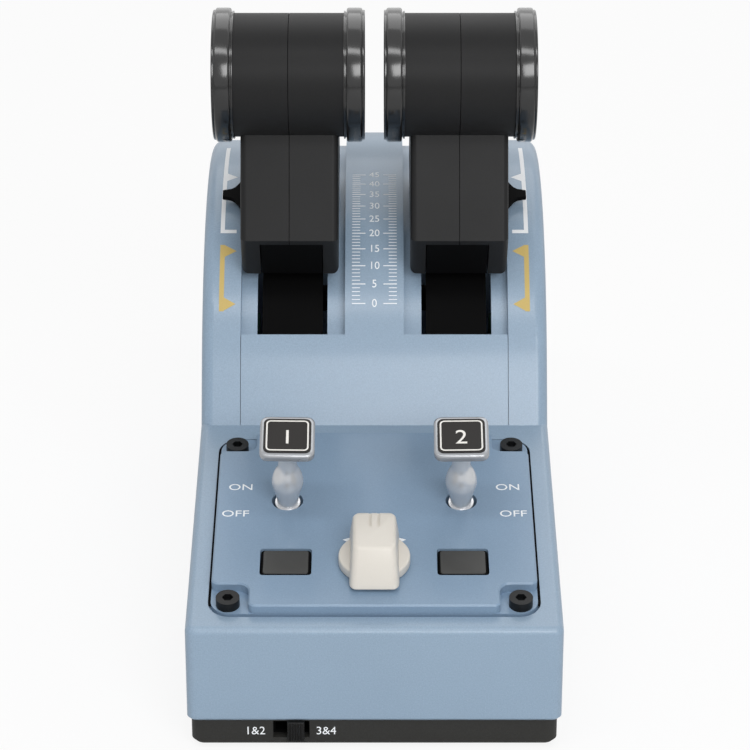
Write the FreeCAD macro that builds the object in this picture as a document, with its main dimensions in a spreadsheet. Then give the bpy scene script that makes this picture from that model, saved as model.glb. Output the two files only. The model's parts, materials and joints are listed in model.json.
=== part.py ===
import FreeCAD, Part
import math
import os
from FreeCAD import Placement, Rotation, Vector

import Sketcher

# ---------------------------------------------------------------------------
# Desktop throttle quadrant: two thrust levers on a humped housing, with an
# engine panel of two toggles, a rotary selector and two push buttons.
# Frame: +X right, +Y away from the user, +Z up, origin on the table under
# the middle of the base. Millimetres and degrees.
# ---------------------------------------------------------------------------

DIMENSIONS = [
    # casing
    ("body_width", 115.0, "housing across the cheeks"),
    ("body_length", 241.2, "housing from front face to back face"),
    ("side_wall", 2.5, "housing side, front and back wall"),
    ("panel_wall", 3.0, "housing wall under the engine panel"),
    ("seam_height", 10.5, "joint between tray and housing above the table"),
    ("front_height", 42.37, "front edge of the engine panel above the table"),
    ("panel_run", 104.2, "engine panel from front edge to apron, along Y"),
    ("panel_slope", 10.67, "engine panel above level"),
    ("apron_slope", 62.0, "apron above level"),
    ("pivot_height", 35.2, "lever shaft above the table"),
    ("hump_radius", 92.2, "scale strip about the lever shaft"),
    ("cheek_drop", 3.2, "cheek radius less than the strip's"),
    ("floor_depth", 4.8, "lever track below the strip"),
    ("floor_thickness", 2.4, "wall under the lever track"),
    ("cheek_round", 4.0, "round along the cheeks"),
    ("front_round", 3.0, "round on the front corners"),
    ("skirt_bevel", 0.9, "bevel along the bottom of the housing"),
    ("track_front", 54.75, "front end of the lever track, from vertical"),
    ("track_back", 14.5, "back end of the slot, behind vertical"),
    ("cover_width", 89.0, "apron between its two seams"),
    ("cover_thickness", 2.4, "apron plate"),
    ("strip_width", 19.6, "scale strip between the tracks"),
    ("slot_width", 23.4, "slot that the lever arm passes through"),
    # tray and feet
    ("tray_inset", 1.2, "tray face behind the housing face"),
    ("tray_wall", 2.2, "tray wall"),
    ("tray_floor", 2.5, "tray floor"),
    ("tray_lip", 2.2, "locating lip above the joint"),
    ("lip_thickness", 1.6, "locating lip"),
    ("platform_height", 3.0, "raised platform under the brackets"),
    ("foot_height", 1.5, "rubber foot"),
    ("base_screw_inset_x", 7.0, "base screw from the housing side"),
    ("base_screw_inset_y", 28.0, "base screw from the housing end"),
    ("foot_radius", 6.5, "rubber foot"),
    ("foot_inset_x", 13.0, "foot centre from the housing side"),
    ("foot_inset_y", 14.0, "foot centre from the housing end"),
    # engine panel
    ("plate_margin", 7.5, "plate from the housing side"),
    ("plate_front", 7.2, "plate front edge from the panel's front edge"),
    ("plate_back", 97.2, "plate back edge from the panel's front edge"),
    ("plate_top", 3.7, "plate top above the surround"),
    ("plate_seat", 1.5, "seat of the plate below the surround"),
    ("plate_gap", 0.9, "gap round the plate"),
    ("plate_corner", 6.0, "round on the plate corners"),
    ("ledge_height", 0.4, "screw ledge above the surround"),
    ("ledge_width", 11.6, "screw ledge along X"),
    ("ledge_front", 10.7, "front screw ledge along the slope"),
    ("ledge_back", 10.3, "back screw ledge along the slope"),
    ("screw_inset", 5.3, "panel screw from the plate's side"),
    ("screw_front", 11.5, "front panel screws from the front edge"),
    ("screw_back", 90.85, "back panel screws from the front edge"),
    ("board_drop", 10.5, "switch board below the plate"),
    ("board_thickness", 1.6, "circuit boards"),
    # controls on the panel
    ("toggle_x", 27.6, "toggle from the middle"),
    ("toggle_u", 59.8, "toggle from the front edge"),
    ("toggle_hole", 5.0, "radius of the toggle hole"),
    ("toggle_depth", 4.5, "toggle pivot below the plate top"),
    ("toggle_lean", 11.4, "toggle lean from the panel's normal"),
    ("toggle_cant", 1.0, "toggle cant towards the middle"),
    ("toggle_reach", 31.1, "cap face above the plate"),
    ("bulb_radius", 5.05, "widest radius of the toggle stem"),
    ("cap_size", 17.1, "square toggle cap"),
    ("cap_thickness", 2.8, "toggle cap"),
    ("cap_corner", 2.6, "round on the cap corners"),
    ("label_width", 14.8, "label on the toggle cap"),
    ("label_height", 14.2, "label on the toggle cap"),
    ("selector_u", 27.9, "selector from the front edge"),
    ("disc_radius", 11.1, "selector disc"),
    ("disc_thickness", 3.0, "selector disc"),
    ("grip_length", 30.4, "selector grip at its foot"),
    ("grip_width", 15.6, "selector grip at its foot"),
    ("grip_top_length", 17.6, "selector grip at its top"),
    ("grip_top_width", 13.2, "selector grip at its top"),
    ("grip_height", 13.1, "selector grip above the plate"),
    ("button_x", 27.4, "push button from the middle"),
    ("button_u", 28.5, "push button from the front edge"),
    ("button_width", 16.0, "push button opening along X"),
    ("button_length", 13.2, "push button opening along the slope"),
    ("button_travel", 1.2, "push button stroke"),
    ("slider_x", 24.1, "source selector left of the middle"),
    ("slider_proud", 0.9, "source selector in front of the housing face"),
    ("screw_head", 3.65, "panel screw head"),
    ("screw_head_height", 3.0, "panel screw head"),
    # levers
    ("lever_x", 27.4, "lever from the middle"),
    ("head_offset", 0.6, "lever head outwards from the lever's arm"),
    ("lever_lean", 19.75, "lever towards the user at rest"),
    ("lever_gap", 1.2, "lever skirt above the strip"),
    ("knob_height", 143.1, "knob axis above the shaft"),
    ("knob_radius", 20.3, "knob barrel"),
    ("barrel_outer", 18.0, "barrel from the lever's middle, outer side"),
    ("barrel_inner", 18.0, "barrel from the lever's middle, inner side"),
    ("ring_radius", 22.0, "knob end ring"),
    ("ring_outer_width", 6.9, "outer end ring"),
    ("ring_inner_width", 6.9, "inner end ring"),
    ("skirt_half", 16.1, "lever skirt, half its width"),
    ("shell_wall", 2.4, "lever shells"),
    ("blade_width", 20.2, "blade in the slot"),
    ("blade_depth", 3.0, "blade below the lever track"),
    ("blade_thickness", 1.8, "blade"),
    ("blade_front", 60.0, "blade ahead of the lever"),
    ("blade_back", 25.0, "blade behind the lever"),
    ("disconnect_radius", 6.0, "disconnect button"),
    ("disconnect_travel", 1.5, "disconnect button stroke"),
    # lever bearings
    ("shaft_radius", 4.0, "lever shaft"),
    ("shaft_length", 101.0, "lever shaft"),
    ("hub_radius", 12.0, "lever hub"),
    ("hub_length", 26.0, "lever hub"),
    ("bush_wall", 2.0, "bush in the lever hub"),
    ("running_gap", 0.05, "radial clearance of a turning fit"),
    ("fit_gap", 0.02, "radial clearance of a fixed fit"),
    ("bracket_thickness", 6.0, "outer shaft brackets"),
    ("centre_thickness", 7.0, "middle shaft bracket"),
    ("washer_thickness", 1.7, "friction washer"),
    ("socket_x", 26.0, "data socket from the middle"),
    ("detent_radius", 44.0, "detent dimples about the shaft"),
    ("detent_thickness", 2.5, "detent plate"),
]

DOC = FreeCAD.newDocument("throttle_quadrant")
SHEET = DOC.addObject("Spreadsheet::Sheet", "Dimensions")


class Size:
    """A number that remembers the sheet expression it comes from."""

    def __init__(self, value, text):
        self.value = float(value)
        self.text = text

    def __float__(self):
        return self.value

    def __neg__(self):
        return Size(-self.value, "(-1 * %s)" % self.text)

    def __add__(self, other):
        other = as_size(other)
        return Size(self.value + other.value, "(%s + %s)" % (self.text, other.text))

    def __sub__(self, other):
        other = as_size(other)
        return Size(self.value - other.value, "(%s - %s)" % (self.text, other.text))

    def __mul__(self, other):
        other = as_size(other)
        return Size(self.value * other.value, "(%s * %s)" % (self.text, other.text))

    def __truediv__(self, other):
        other = as_size(other)
        return Size(self.value / other.value, "(%s / %s)" % (self.text, other.text))

    def __radd__(self, other):
        return as_size(other) + self

    def __rsub__(self, other):
        return as_size(other) - self

    def __rmul__(self, other):
        return as_size(other) * self


def as_size(number):
    """A Size as it is, or a plain number as a Size."""
    if isinstance(number, Size):
        return number
    return Size(number, "(%s)" % repr(float(number)))


def fill_sheet():
    """Write the driving dimensions to the sheet and return them by name."""
    sizes = {}
    for row, (name, value, note) in enumerate(DIMENSIONS, start=1):
        SHEET.set("A%d" % row, name)
        SHEET.set("B%d" % row, repr(value))
        SHEET.set("C%d" % row, note)
        SHEET.setAlias("B%d" % row, name)
        sizes[name] = Size(value, "Dimensions.%s" % name)
    DOC.recompute()
    return sizes


D = fill_sheet()


# ---------------------------------------------------------------------------
# Places worked out from the driving dimensions
# ---------------------------------------------------------------------------

def sin(angle):
    return math.sin(math.radians(float(angle)))


def cos(angle):
    return math.cos(math.radians(float(angle)))


def tan(angle):
    return math.tan(math.radians(float(angle)))


FRONT_Y = (D["slider_proud"] - D["body_length"]) / 2
BACK_Y = FRONT_Y + D["body_length"]
HALF_WIDTH = D["body_width"] / 2
PLATE_WIDTH = D["body_width"] - D["plate_margin"] * 2
SCREW_X = PLATE_WIDTH / 2 - D["screw_inset"]
TRAY_BOTTOM = D["foot_height"]
FLOOR_TOP = D["foot_height"] + D["tray_floor"]
PLATFORM_TOP = FLOOR_TOP + D["platform_height"]

CORNER_Y = float(FRONT_Y + D["panel_run"])
CORNER_Z = float(D["front_height"]) + float(D["panel_run"]) * tan(D["panel_slope"])
PIVOT_Z = float(D["pivot_height"])
PIVOT_Y = CORNER_Y + (
    float(D["hump_radius"]) + (PIVOT_Z - CORNER_Z) * cos(D["apron_slope"])
) / sin(D["apron_slope"])
FLOOR_RADIUS = D["hump_radius"] - D["floor_depth"]
CAVITY_RADIUS = FLOOR_RADIUS - D["floor_thickness"]
BLADE_RADIUS = FLOOR_RADIUS - D["blade_depth"]
SKIRT_RADIUS = D["hump_radius"] + D["lever_gap"]

PANEL_FRAME = Placement(
    Vector(0, float(FRONT_Y), float(D["front_height"])),
    Rotation(Vector(1, 0, 0), float(D["panel_slope"])),
)
DETENTS = (47.25, 30.98, 13.2, 3.0, -5.25)


def polar(radius, angle, centre=(PIVOT_Y, PIVOT_Z)):
    """Point at a radius and an angle from vertical, positive to the user."""
    return (
        centre[0] - float(radius) * sin(angle),
        centre[1] + float(radius) * cos(angle),
    )


def angle_at(radius, y, centre=(PIVOT_Y, PIVOT_Z)):
    """Angle from vertical at which a circle reaches a given Y."""
    return math.degrees(math.asin((centre[0] - float(y)) / float(radius)))


def apron_foot(depth):
    """Where a line at a depth below the apron comes down to corner height."""
    return (CORNER_Y + float(depth) / sin(D["apron_slope"]), CORNER_Z)


# ---------------------------------------------------------------------------
# Modelling helpers
# ---------------------------------------------------------------------------

PARTS = []


def new_body(label, place=None):
    """A PartDesign body that becomes one node."""
    body = DOC.addObject("PartDesign::Body", label)
    body.Label = label
    body.AllowCompound = True
    if place is not None:
        body.Placement = place
    PARTS.append(body)
    return body


def bind(item, prop, amount):
    """Bind a property to the sheet."""
    item.setExpression(prop, as_size(amount).text)


def new_sketch(body, role, offset):
    """A sketch on one of the body's own origin planes, moved along its normal.

    The role "panel" is the plane of the engine panel inside the housing.
    """
    tilt = Placement()
    if role == "panel":
        role, tilt = "XY", PANEL_FRAME
    sketch = body.newObject("Sketcher::SketchObject", body.Label + "_sketch")
    origin_plane = [f for f in body.Origin.OriginFeatures if f.Role == role + "_Plane"][0]
    sketch.AttachmentSupport = [(origin_plane, "")]
    sketch.MapMode = "FlatFace"
    sketch.AttachmentOffset = tilt * Placement(Vector(0, 0, float(offset)), Rotation())
    if tilt.isIdentity():
        bind(sketch, "AttachmentOffset.Base.z", offset)
    return sketch


def outline(body, role, offset, start, steps):
    """A closed outline: a step is an end point, or a middle and an end of an arc."""
    sketch = new_sketch(body, role, offset)
    here = start
    edges = []
    for step in steps + [start]:
        if isinstance(step[0], tuple):
            middle, end = step
            edges.append(Part.Arc(flat(here), flat(middle), flat(end)))
        else:
            end = step
            edges.append(Part.LineSegment(flat(here), flat(end)))
        here = end
    sketch.addGeometry(edges, False)
    return sketch


def flat(point):
    return Vector(float(point[0]), float(point[1]), 0)


def locate(sketch, geometry, vertex, position):
    """Hold a sketch point at a bound distance from the origin."""
    for axis, kind, line in ((0, "DistanceX", -2), (1, "DistanceY", -1)):
        amount = as_size(position[axis])
        if amount.value == 0:
            sketch.addConstraint(
                Sketcher.Constraint("PointOnObject", geometry, vertex, line))
            continue
        index = sketch.addConstraint(
            Sketcher.Constraint(kind, -1, 1, geometry, vertex, amount.value))
        bind(sketch, "Constraints[%d]" % index, amount)


def rectangles(body, role, offset, boxes):
    """Rectangles, each given by its low corner, width and height."""
    sketch = new_sketch(body, role, offset)
    for low_a, low_b, width, height in boxes:
        a, b = float(low_a), float(low_b)
        c, d = a + float(width), b + float(height)
        first = sketch.GeometryCount
        corners = [(a, b), (c, b), (c, d), (a, d)]
        for i in range(4):
            sketch.addGeometry(
                Part.LineSegment(flat(corners[i]), flat(corners[(i + 1) % 4])), False)
        for i in range(4):
            sketch.addConstraint(Sketcher.Constraint(
                "Coincident", first + i, 2, first + (i + 1) % 4, 1))
        for i, kind in enumerate(("Horizontal", "Vertical", "Horizontal", "Vertical")):
            sketch.addConstraint(Sketcher.Constraint(kind, first + i))
        locate(sketch, first, 1, (low_a, low_b))
        for line, kind, amount in ((0, "DistanceX", width), (1, "DistanceY", height)):
            index = sketch.addConstraint(Sketcher.Constraint(
                kind, first + line, 1, first + line, 2, float(amount)))
            bind(sketch, "Constraints[%d]" % index, amount)
    return sketch


def circles(body, role, offset, rounds):
    """Circles, each given by its centre and radius."""
    sketch = new_sketch(body, role, offset)
    for centre_a, centre_b, radius in rounds:
        index = sketch.addGeometry(Part.Circle(
            flat((centre_a, centre_b)), Vector(0, 0, 1), float(radius)), False)
        locate(sketch, index, 3, (centre_a, centre_b))
        datum = sketch.addConstraint(
            Sketcher.Constraint("Radius", index, float(radius)))
        bind(sketch, "Constraints[%d]" % datum, radius)
    return sketch


def sector(body, offset, inner, outer, low, high, role="YZ", centre=(PIVOT_Y, PIVOT_Z)):
    """A ring sector about a centre between two angles from vertical."""
    middle = (float(low) + float(high)) / 2
    return outline(body, role, offset, polar(inner, low, centre), [
        (polar(inner, middle, centre), polar(inner, high, centre)),
        polar(outer, high, centre),
        (polar(outer, middle, centre), polar(outer, low, centre)),
    ])


def extrude(body, sketch, length, both=False, reverse=False, cut=False):
    """Pad or pocket a sketch; the volume has to change."""
    DOC.recompute()
    before = body.Shape.Volume if body.Tip is not None else 0.0
    kind = "PartDesign::Pocket" if cut else "PartDesign::Pad"
    feature = body.newObject(kind, body.Label + ("_pocket" if cut else "_pad"))
    feature.Profile = sketch
    feature.SideType = "Symmetric" if both else "One side"
    feature.Reversed = reverse
    bind(feature, "Length", length)
    DOC.recompute()
    if abs(body.Shape.Volume - before) < 1e-3:
        raise RuntimeError("%s: a feature of %s changes nothing" % (kind, body.Label))
    return feature


def pad(body, sketch, length, both=False, reverse=False):
    return extrude(body, sketch, length, both, reverse)


def cut(body, sketch, length, both=False, reverse=False):
    return extrude(body, sketch, length, both, reverse, cut=True)


def revolve(body, sketch, axis):
    """A full turn of a sketch about its vertical or horizontal axis."""
    feature = body.newObject("PartDesign::Revolution", body.Label + "_turn")
    feature.Profile = sketch
    feature.ReferenceAxis = (sketch, [axis])
    feature.Angle = 360
    DOC.recompute()
    return feature


def dress(body, kind, chosen, amount):
    """Fillet or chamfer the edges of the last feature that a test picks."""
    base = body.Tip
    names = ["Edge%d" % (i + 1) for i, edge in enumerate(base.Shape.Edges) if chosen(edge)]
    if not names:
        raise RuntimeError("no edge to dress on " + body.Label)
    feature = body.newObject("PartDesign::" + kind, body.Label + "_" + kind.lower())
    feature.Base = (base, names)
    bind(feature, "Radius" if kind == "Fillet" else "Size", amount)
    DOC.recompute()
    return feature


def span(edge, axis):
    """Lowest and highest coordinate of an edge along an axis, 0 to 2."""
    box = edge.BoundBox
    lows = (box.XMin, box.YMin, box.ZMin)
    highs = (box.XMax, box.YMax, box.ZMax)
    return lows[axis], highs[axis]


def along(edge, axis):
    """True for a straight edge that runs along one axis."""
    return all(
        (span(edge, i)[1] - span(edge, i)[0] > 1e-3) == (i == axis) for i in range(3))


def at(edge, axis, value):
    """True where an edge lies wholly at one coordinate."""
    low, high = span(edge, axis)
    return abs(low - float(value)) < 1e-3 and abs(high - float(value)) < 1e-3


# ---------------------------------------------------------------------------
# Casing
# ---------------------------------------------------------------------------

SEAT = 0.05
GAP = 0.3
CHEEK_RADIUS = float(D["hump_radius"] - D["cheek_drop"])
APRON_TOP = polar(D["hump_radius"], D["apron_slope"])
CHEEK_CENTRE = (
    APRON_TOP[0] + CHEEK_RADIUS * sin(D["apron_slope"]),
    APRON_TOP[1] - CHEEK_RADIUS * cos(D["apron_slope"]),
)
SIDES = (("left", -1), ("right", 1))
BASE_SCREWS = [
    (x * (HALF_WIDTH - D["base_screw_inset_x"]),
     y * (D["body_length"] / 2 - D["base_screw_inset_y"]))
    for x in (-1, 1) for y in (-1, 1)]
BOSS_FOOT = D["seam_height"] + D["tray_lip"] + GAP


def apron_meets(depth, height_at_front):
    """Where a line parallel to the panel meets the apron line at a depth."""
    start = apron_foot(depth)
    steep, shallow = tan(D["apron_slope"]), tan(D["panel_slope"])
    y = (height_at_front - start[1] + steep * start[0] - shallow * float(FRONT_Y))
    y = y / (steep - shallow)
    return (y, start[1] + steep * (y - start[0]))


def on_arc(radius, y, centre=(PIVOT_Y, PIVOT_Z)):
    """The upper point of a circle at a given Y."""
    return polar(radius, angle_at(radius, y, centre), centre)


def upper_housing():
    body = new_body("upper_housing")
    front, back = float(FRONT_Y), float(BACK_Y)
    seam, edge = float(D["seam_height"]), float(D["front_height"])
    cheek_end = on_arc(CHEEK_RADIUS, back, CHEEK_CENTRE)
    top = polar(CHEEK_RADIUS, 20, CHEEK_CENTRE)
    pad(body, outline(body, "YZ", 0, (front, seam), [
        (front, edge),
        (CORNER_Y, CORNER_Z),
        APRON_TOP,
        (top, cheek_end),
        (back, seam),
    ]), D["body_width"], both=True)
    dress(body, "Fillet", lambda e: at(e, 1, back) and at(e, 2, cheek_end[1]), 8.0)
    dress(body, "Fillet", lambda e: along(e, 2) and at(e, 1, front), D["front_round"])
    dress(body, "Fillet", lambda e: (
        abs(abs(e.CenterOfMass.x) - float(HALF_WIDTH)) < 1e-3
        and e.BoundBox.ZMin > CORNER_Z - 1e-3), D["cheek_round"])
    dress(body, "Fillet", lambda e: along(e, 0) and at(e, 2, edge), 2.5)
    dress(body, "Chamfer", lambda e: at(e, 2, seam), D["skirt_bevel"])

    wall = D["side_wall"]
    under = edge - float(D["panel_wall"]) / cos(D["panel_slope"])
    inner_front, inner_back = float(FRONT_Y + wall), float(BACK_Y - wall)
    rise = float(wall) * tan(D["panel_slope"])
    depth = float(D["hump_radius"] - CAVITY_RADIUS)
    cut(body, outline(body, "YZ", 0, (inner_front, seam - 1), [
        (inner_front, under + rise),
        apron_meets(depth, under),
        polar(CAVITY_RADIUS, D["apron_slope"]),
        (polar(CAVITY_RADIUS, 20), on_arc(CAVITY_RADIUS, inner_back)),
        (inner_back, seam - 1),
    ]), D["body_width"] - wall * 2, both=True)

    inset = D["hump_radius"] - D["cover_thickness"]
    cut(body, outline(body, "YZ", 0, (CORNER_Y, CORNER_Z), [
        apron_foot(D["cover_thickness"]),
        polar(inset, D["apron_slope"]),
        (polar(inset, 60), polar(inset, 56.5)),
        polar(FLOOR_RADIUS, 56.5),
        (polar(FLOOR_RADIUS, 10), on_arc(FLOOR_RADIUS, back + 2)),
        (back + 2, CORNER_Z + 90),
        (CORNER_Y - 2, CORNER_Z + 90),
        (CORNER_Y - 2, CORNER_Z),
    ]), D["cover_width"], both=True)
    for name, side in SIDES:
        cut(body, sector(body, side * D["lever_x"], CAVITY_RADIUS - 1, FLOOR_RADIUS + 1,
                         -D["track_back"], D["track_front"]), D["slot_width"], both=True)

    seat = D["plate_seat"]
    half = PLATE_WIDTH / 2 + D["plate_gap"]
    low, high = D["plate_front"] - 1, D["plate_back"] + 1
    cut(body, rectangles(body, "panel", 0, [(-half, low, half * 2, high - low)]), seat)
    dress(body, "Fillet", lambda e: (
        abs(e.Length - float(seat)) < 1e-3 and e.BoundBox.ZMin > edge - 3
        and abs(abs(e.CenterOfMass.x) - float(half)) < 1e-3), D["plate_corner"] + 1)
    for name, side in SIDES:
        pad(body, circles(body, "panel", -seat, [
            (side * SCREW_X, D["screw_front"], 4.6),
            (side * SCREW_X, D["screw_back"], 4.6)]), 11.0, reverse=True)
    pad(body, circles(body, "XY", BOSS_FOOT, [(x, y, 4.6) for x, y in BASE_SCREWS]), 14.0)
    cut(body, rectangles(body, "panel", 0, [(-40.0, 17.2, 80.0, 74.0)]), 6.0)
    cut(body, circles(body, "panel", 0, [
        (x * SCREW_X, u, D["fit_gap"] + 2.0)
        for x in (-1, 1) for u in (D["screw_front"], D["screw_back"])]), 11.5)
    cut(body, circles(body, "XY", BOSS_FOOT, [
        (x, y, D["fit_gap"] + 1.5) for x, y in BASE_SCREWS]), 8.0, reverse=True)
    cut(body, rectangles(body, "XZ", -BACK_Y - 1, [(D["socket_x"] - 6.2, 15.9, 12.4, 11.2)]), wall + 2,
        reverse=True)
    return body


def centre_cover():
    body = new_body("centre_cover")
    outer = D["hump_radius"]
    inner = outer - D["cover_thickness"] + SEAT
    seat = FLOOR_RADIUS + SEAT
    bottom = apron_foot(D["cover_thickness"] - SEAT)
    back = float(BACK_Y)
    pad(body, outline(body, "YZ", 0, (CORNER_Y, CORNER_Z + 0.02), [
        APRON_TOP,
        (polar(outer, 58), polar(outer, D["track_front"])),
        polar(seat, D["track_front"]),
        (polar(seat, 55.5), polar(seat, 56.4)),
        polar(inner, 56.4),
        (polar(inner, 59), polar(inner, D["apron_slope"])),
        (bottom[0], bottom[1] + 0.02),
    ]), D["cover_width"] - 0.4, both=True)
    pad(body, outline(body, "YZ", 0, polar(seat, 55.2), [
        (polar(seat, 10), on_arc(seat, back)),
        on_arc(outer, back),
        (polar(outer, 10), polar(outer, 55.2)),
    ]), D["strip_width"], both=True)
    dress(body, "Fillet", lambda e: (
        at(e, 1, back) and at(e, 2, on_arc(outer, back)[1])), 3.0)
    return body


def base_tray():
    body = new_body("base_tray")
    half = HALF_WIDTH - D["tray_inset"]
    low, high = FRONT_Y + D["tray_inset"], BACK_Y - D["tray_inset"]
    length = high - low
    bottom, seam = D["foot_height"], D["seam_height"]
    pad(body, rectangles(body, "XY", bottom, [(-half, low, half * 2, length)]), seam - bottom)
    dress(body, "Fillet", lambda e: along(e, 2), 4.0)
    dress(body, "Chamfer", lambda e: at(e, 2, bottom), 1.2)
    wall = D["tray_wall"]
    inner = half - D["side_wall"] + 1.8
    lip = HALF_WIDTH - D["side_wall"] - 0.2
    lip_low = FRONT_Y + D["side_wall"] + 0.2
    lip_length = D["body_length"] - D["side_wall"] * 2 - 0.4
    pad(body, rectangles(body, "XY", seam, [(-lip, lip_low, lip * 2, lip_length)]), D["tray_lip"])
    inner = lip - D["lip_thickness"]
    inner_low = lip_low + D["lip_thickness"]
    inner_length = lip_length - D["lip_thickness"] * 2
    top = seam + D["tray_lip"]
    cut(body, rectangles(body, "XY", top, [(-inner, inner_low, inner * 2, inner_length)]),
        top - FLOOR_TOP)
    pad(body, rectangles(body, "XY", FLOOR_TOP, [
        (-48.6, Size(PIVOT_Y - 13, "(%r)" % (PIVOT_Y - 13)), 97.2, 26.0)]), D["platform_height"])
    pad(body, circles(body, "XY", FLOOR_TOP, [(x, y, 4.6) for x, y in BASE_SCREWS]),
        BOSS_FOOT - FLOOR_TOP)
    pad(body, circles(body, "XY", FLOOR_TOP, [(x, y, 3.0) for x, y in BOARD_POSTS]), 4.0)
    pad(body, circles(body, "XY", FLOOR_TOP, [(x, y, 1.48) for x, y in BOARD_POSTS]), 6.5)
    pad(body, rectangles(body, "XY", FLOOR_TOP, [
        (D["socket_x"] - 6, BACK_Y - 12.5, 12.0, 8.0)]), 12.0)
    cut(body, circles(body, "XY", bottom, [(x, y, 3.2) for x, y in BASE_SCREWS]), 3.0,
        reverse=True)
    cut(body, circles(body, "XY", bottom, [
        (x, y, 1.5 + D["running_gap"]) for x, y in BASE_SCREWS]), 20.0, reverse=True)
    cut(body, circles(body, "XY", PLATFORM_TOP, [
        (x, y, 1.5 + D["fit_gap"]) for x, y in BRACKET_SCREWS]), 4.6)
    slot_x = -D["slider_x"] - 7.0
    cut(body, rectangles(body, "XZ", -low + 1, [(slot_x, 4.15, 11.2, 5.8)]), 6.0)
    return body


BOARD_POSTS = [(x, FRONT_Y + y) for x in (-36.0, 36.0) for y in (15.5, 53.5)]
BRACKET_SCREWS = [
    (x, PIVOT_Y + y) for x in (-37.4, -16.5, -6.6, 6.6, 16.5, 37.4) for y in (-8.5, 8.5)]


def rubber_feet():
    body = new_body("rubber_feet")
    x = HALF_WIDTH - D["foot_inset_x"]
    y = D["body_length"] / 2 - D["foot_inset_y"]
    pad(body, circles(body, "XY", 0, [
        (a * x, b * y, D["foot_radius"]) for a in (-1, 1) for b in (-1, 1)]), D["foot_height"])
    return body


def screws(label, places, shank, length, head, head_height, role="XY", offset=0.0,
           place=None, down=True, socket=0.0):
    """Several screws: heads above the offset plane and shanks below it."""
    body = new_body(label, place)
    pad(body, circles(body, role, offset, [(a, b, head) for a, b in places]), head_height,
        reverse=not down)
    pad(body, circles(body, role, offset, [(a, b, shank) for a, b in places]), length,
        reverse=down)
    if socket:
        end = offset + head_height if down else offset - head_height
        for a, b in places:
            ring = [(float(a) + socket * cos(60 * k), float(b) + socket * sin(60 * k))
                    for k in range(6)]
            cut(body, outline(body, role, end, ring[0], ring[1:]), head_height * 0.6,
                reverse=not down)
    return body


def base_screws():
    return screws("base_screws", BASE_SCREWS, 1.5, 15.0, 2.8, 2.2, offset=4.5, down=False,
                  socket=1.3)


def ballast_plate():
    body = new_body("ballast_plate")
    pad(body, rectangles(body, "XY", FLOOR_TOP, [(-45.0, FRONT_Y + 67.5, 90.0, 32.0)]), 5.0)
    return body


def main_board():
    body = new_body("main_board")
    pad(body, rectangles(body, "XY", FLOOR_TOP + 4.0, [(-40.0, FRONT_Y + 11.5, 80.0, 46.0)]),
        D["board_thickness"])
    pad(body, rectangles(body, "XY", FLOOR_TOP + 4.0 + D["board_thickness"], [
        (-8.0, FRONT_Y + 27.5, 14.0, 14.0), (18.0, FRONT_Y + 21.5, 10.0, 6.0),
        (-28.0, FRONT_Y + 39.5, 12.0, 5.0)]), 2.0)
    cut(body, circles(body, "XY", FLOOR_TOP + 4.0, [(x, y, 1.5) for x, y in BOARD_POSTS]), 3.0,
        reverse=True)
    return body


def usb_socket():
    body = new_body("usb_socket")
    start = -BACK_Y + 0.5
    pad(body, rectangles(body, "XZ", start, [(D["socket_x"] - 6, 16.0, 12.0, 10.9)]), 12.0)
    cut(body, rectangles(body, "XZ", start, [(D["socket_x"] - 4.5, 17.4, 9.0, 8.1)]), 9.0,
        reverse=True)
    pad(body, rectangles(body, "XZ", start + 1, [(D["socket_x"] - 2.8, 20.0, 5.6, 2.9)]), 9.0)
    return body


# ---------------------------------------------------------------------------
# Engine panel and its controls
# ---------------------------------------------------------------------------

PLATE_TOP = D["plate_top"]
PLATE_UNDER = -D["plate_seat"]
BOARD_TOP = PLATE_UNDER - D["board_drop"]
TOGGLE_PIVOT = PLATE_TOP - D["toggle_depth"]


def on_panel(x, u, h):
    """Placement at a point of the engine panel."""
    return PANEL_FRAME * Placement(Vector(float(x), float(u), float(h)), Rotation())


def toggle_place(side):
    """A toggle's own frame: on its pivot, leaning to the user and to the middle."""
    lean = Rotation(Vector(1, 0, 0), float(D["toggle_lean"]))
    cant = Rotation(Vector(0, 1, 0), -side * float(D["toggle_cant"]))
    spot = on_panel(side * D["toggle_x"], D["toggle_u"], TOGGLE_PIVOT)
    return spot * Placement(Vector(0, 0, 0), lean * cant)


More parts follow.
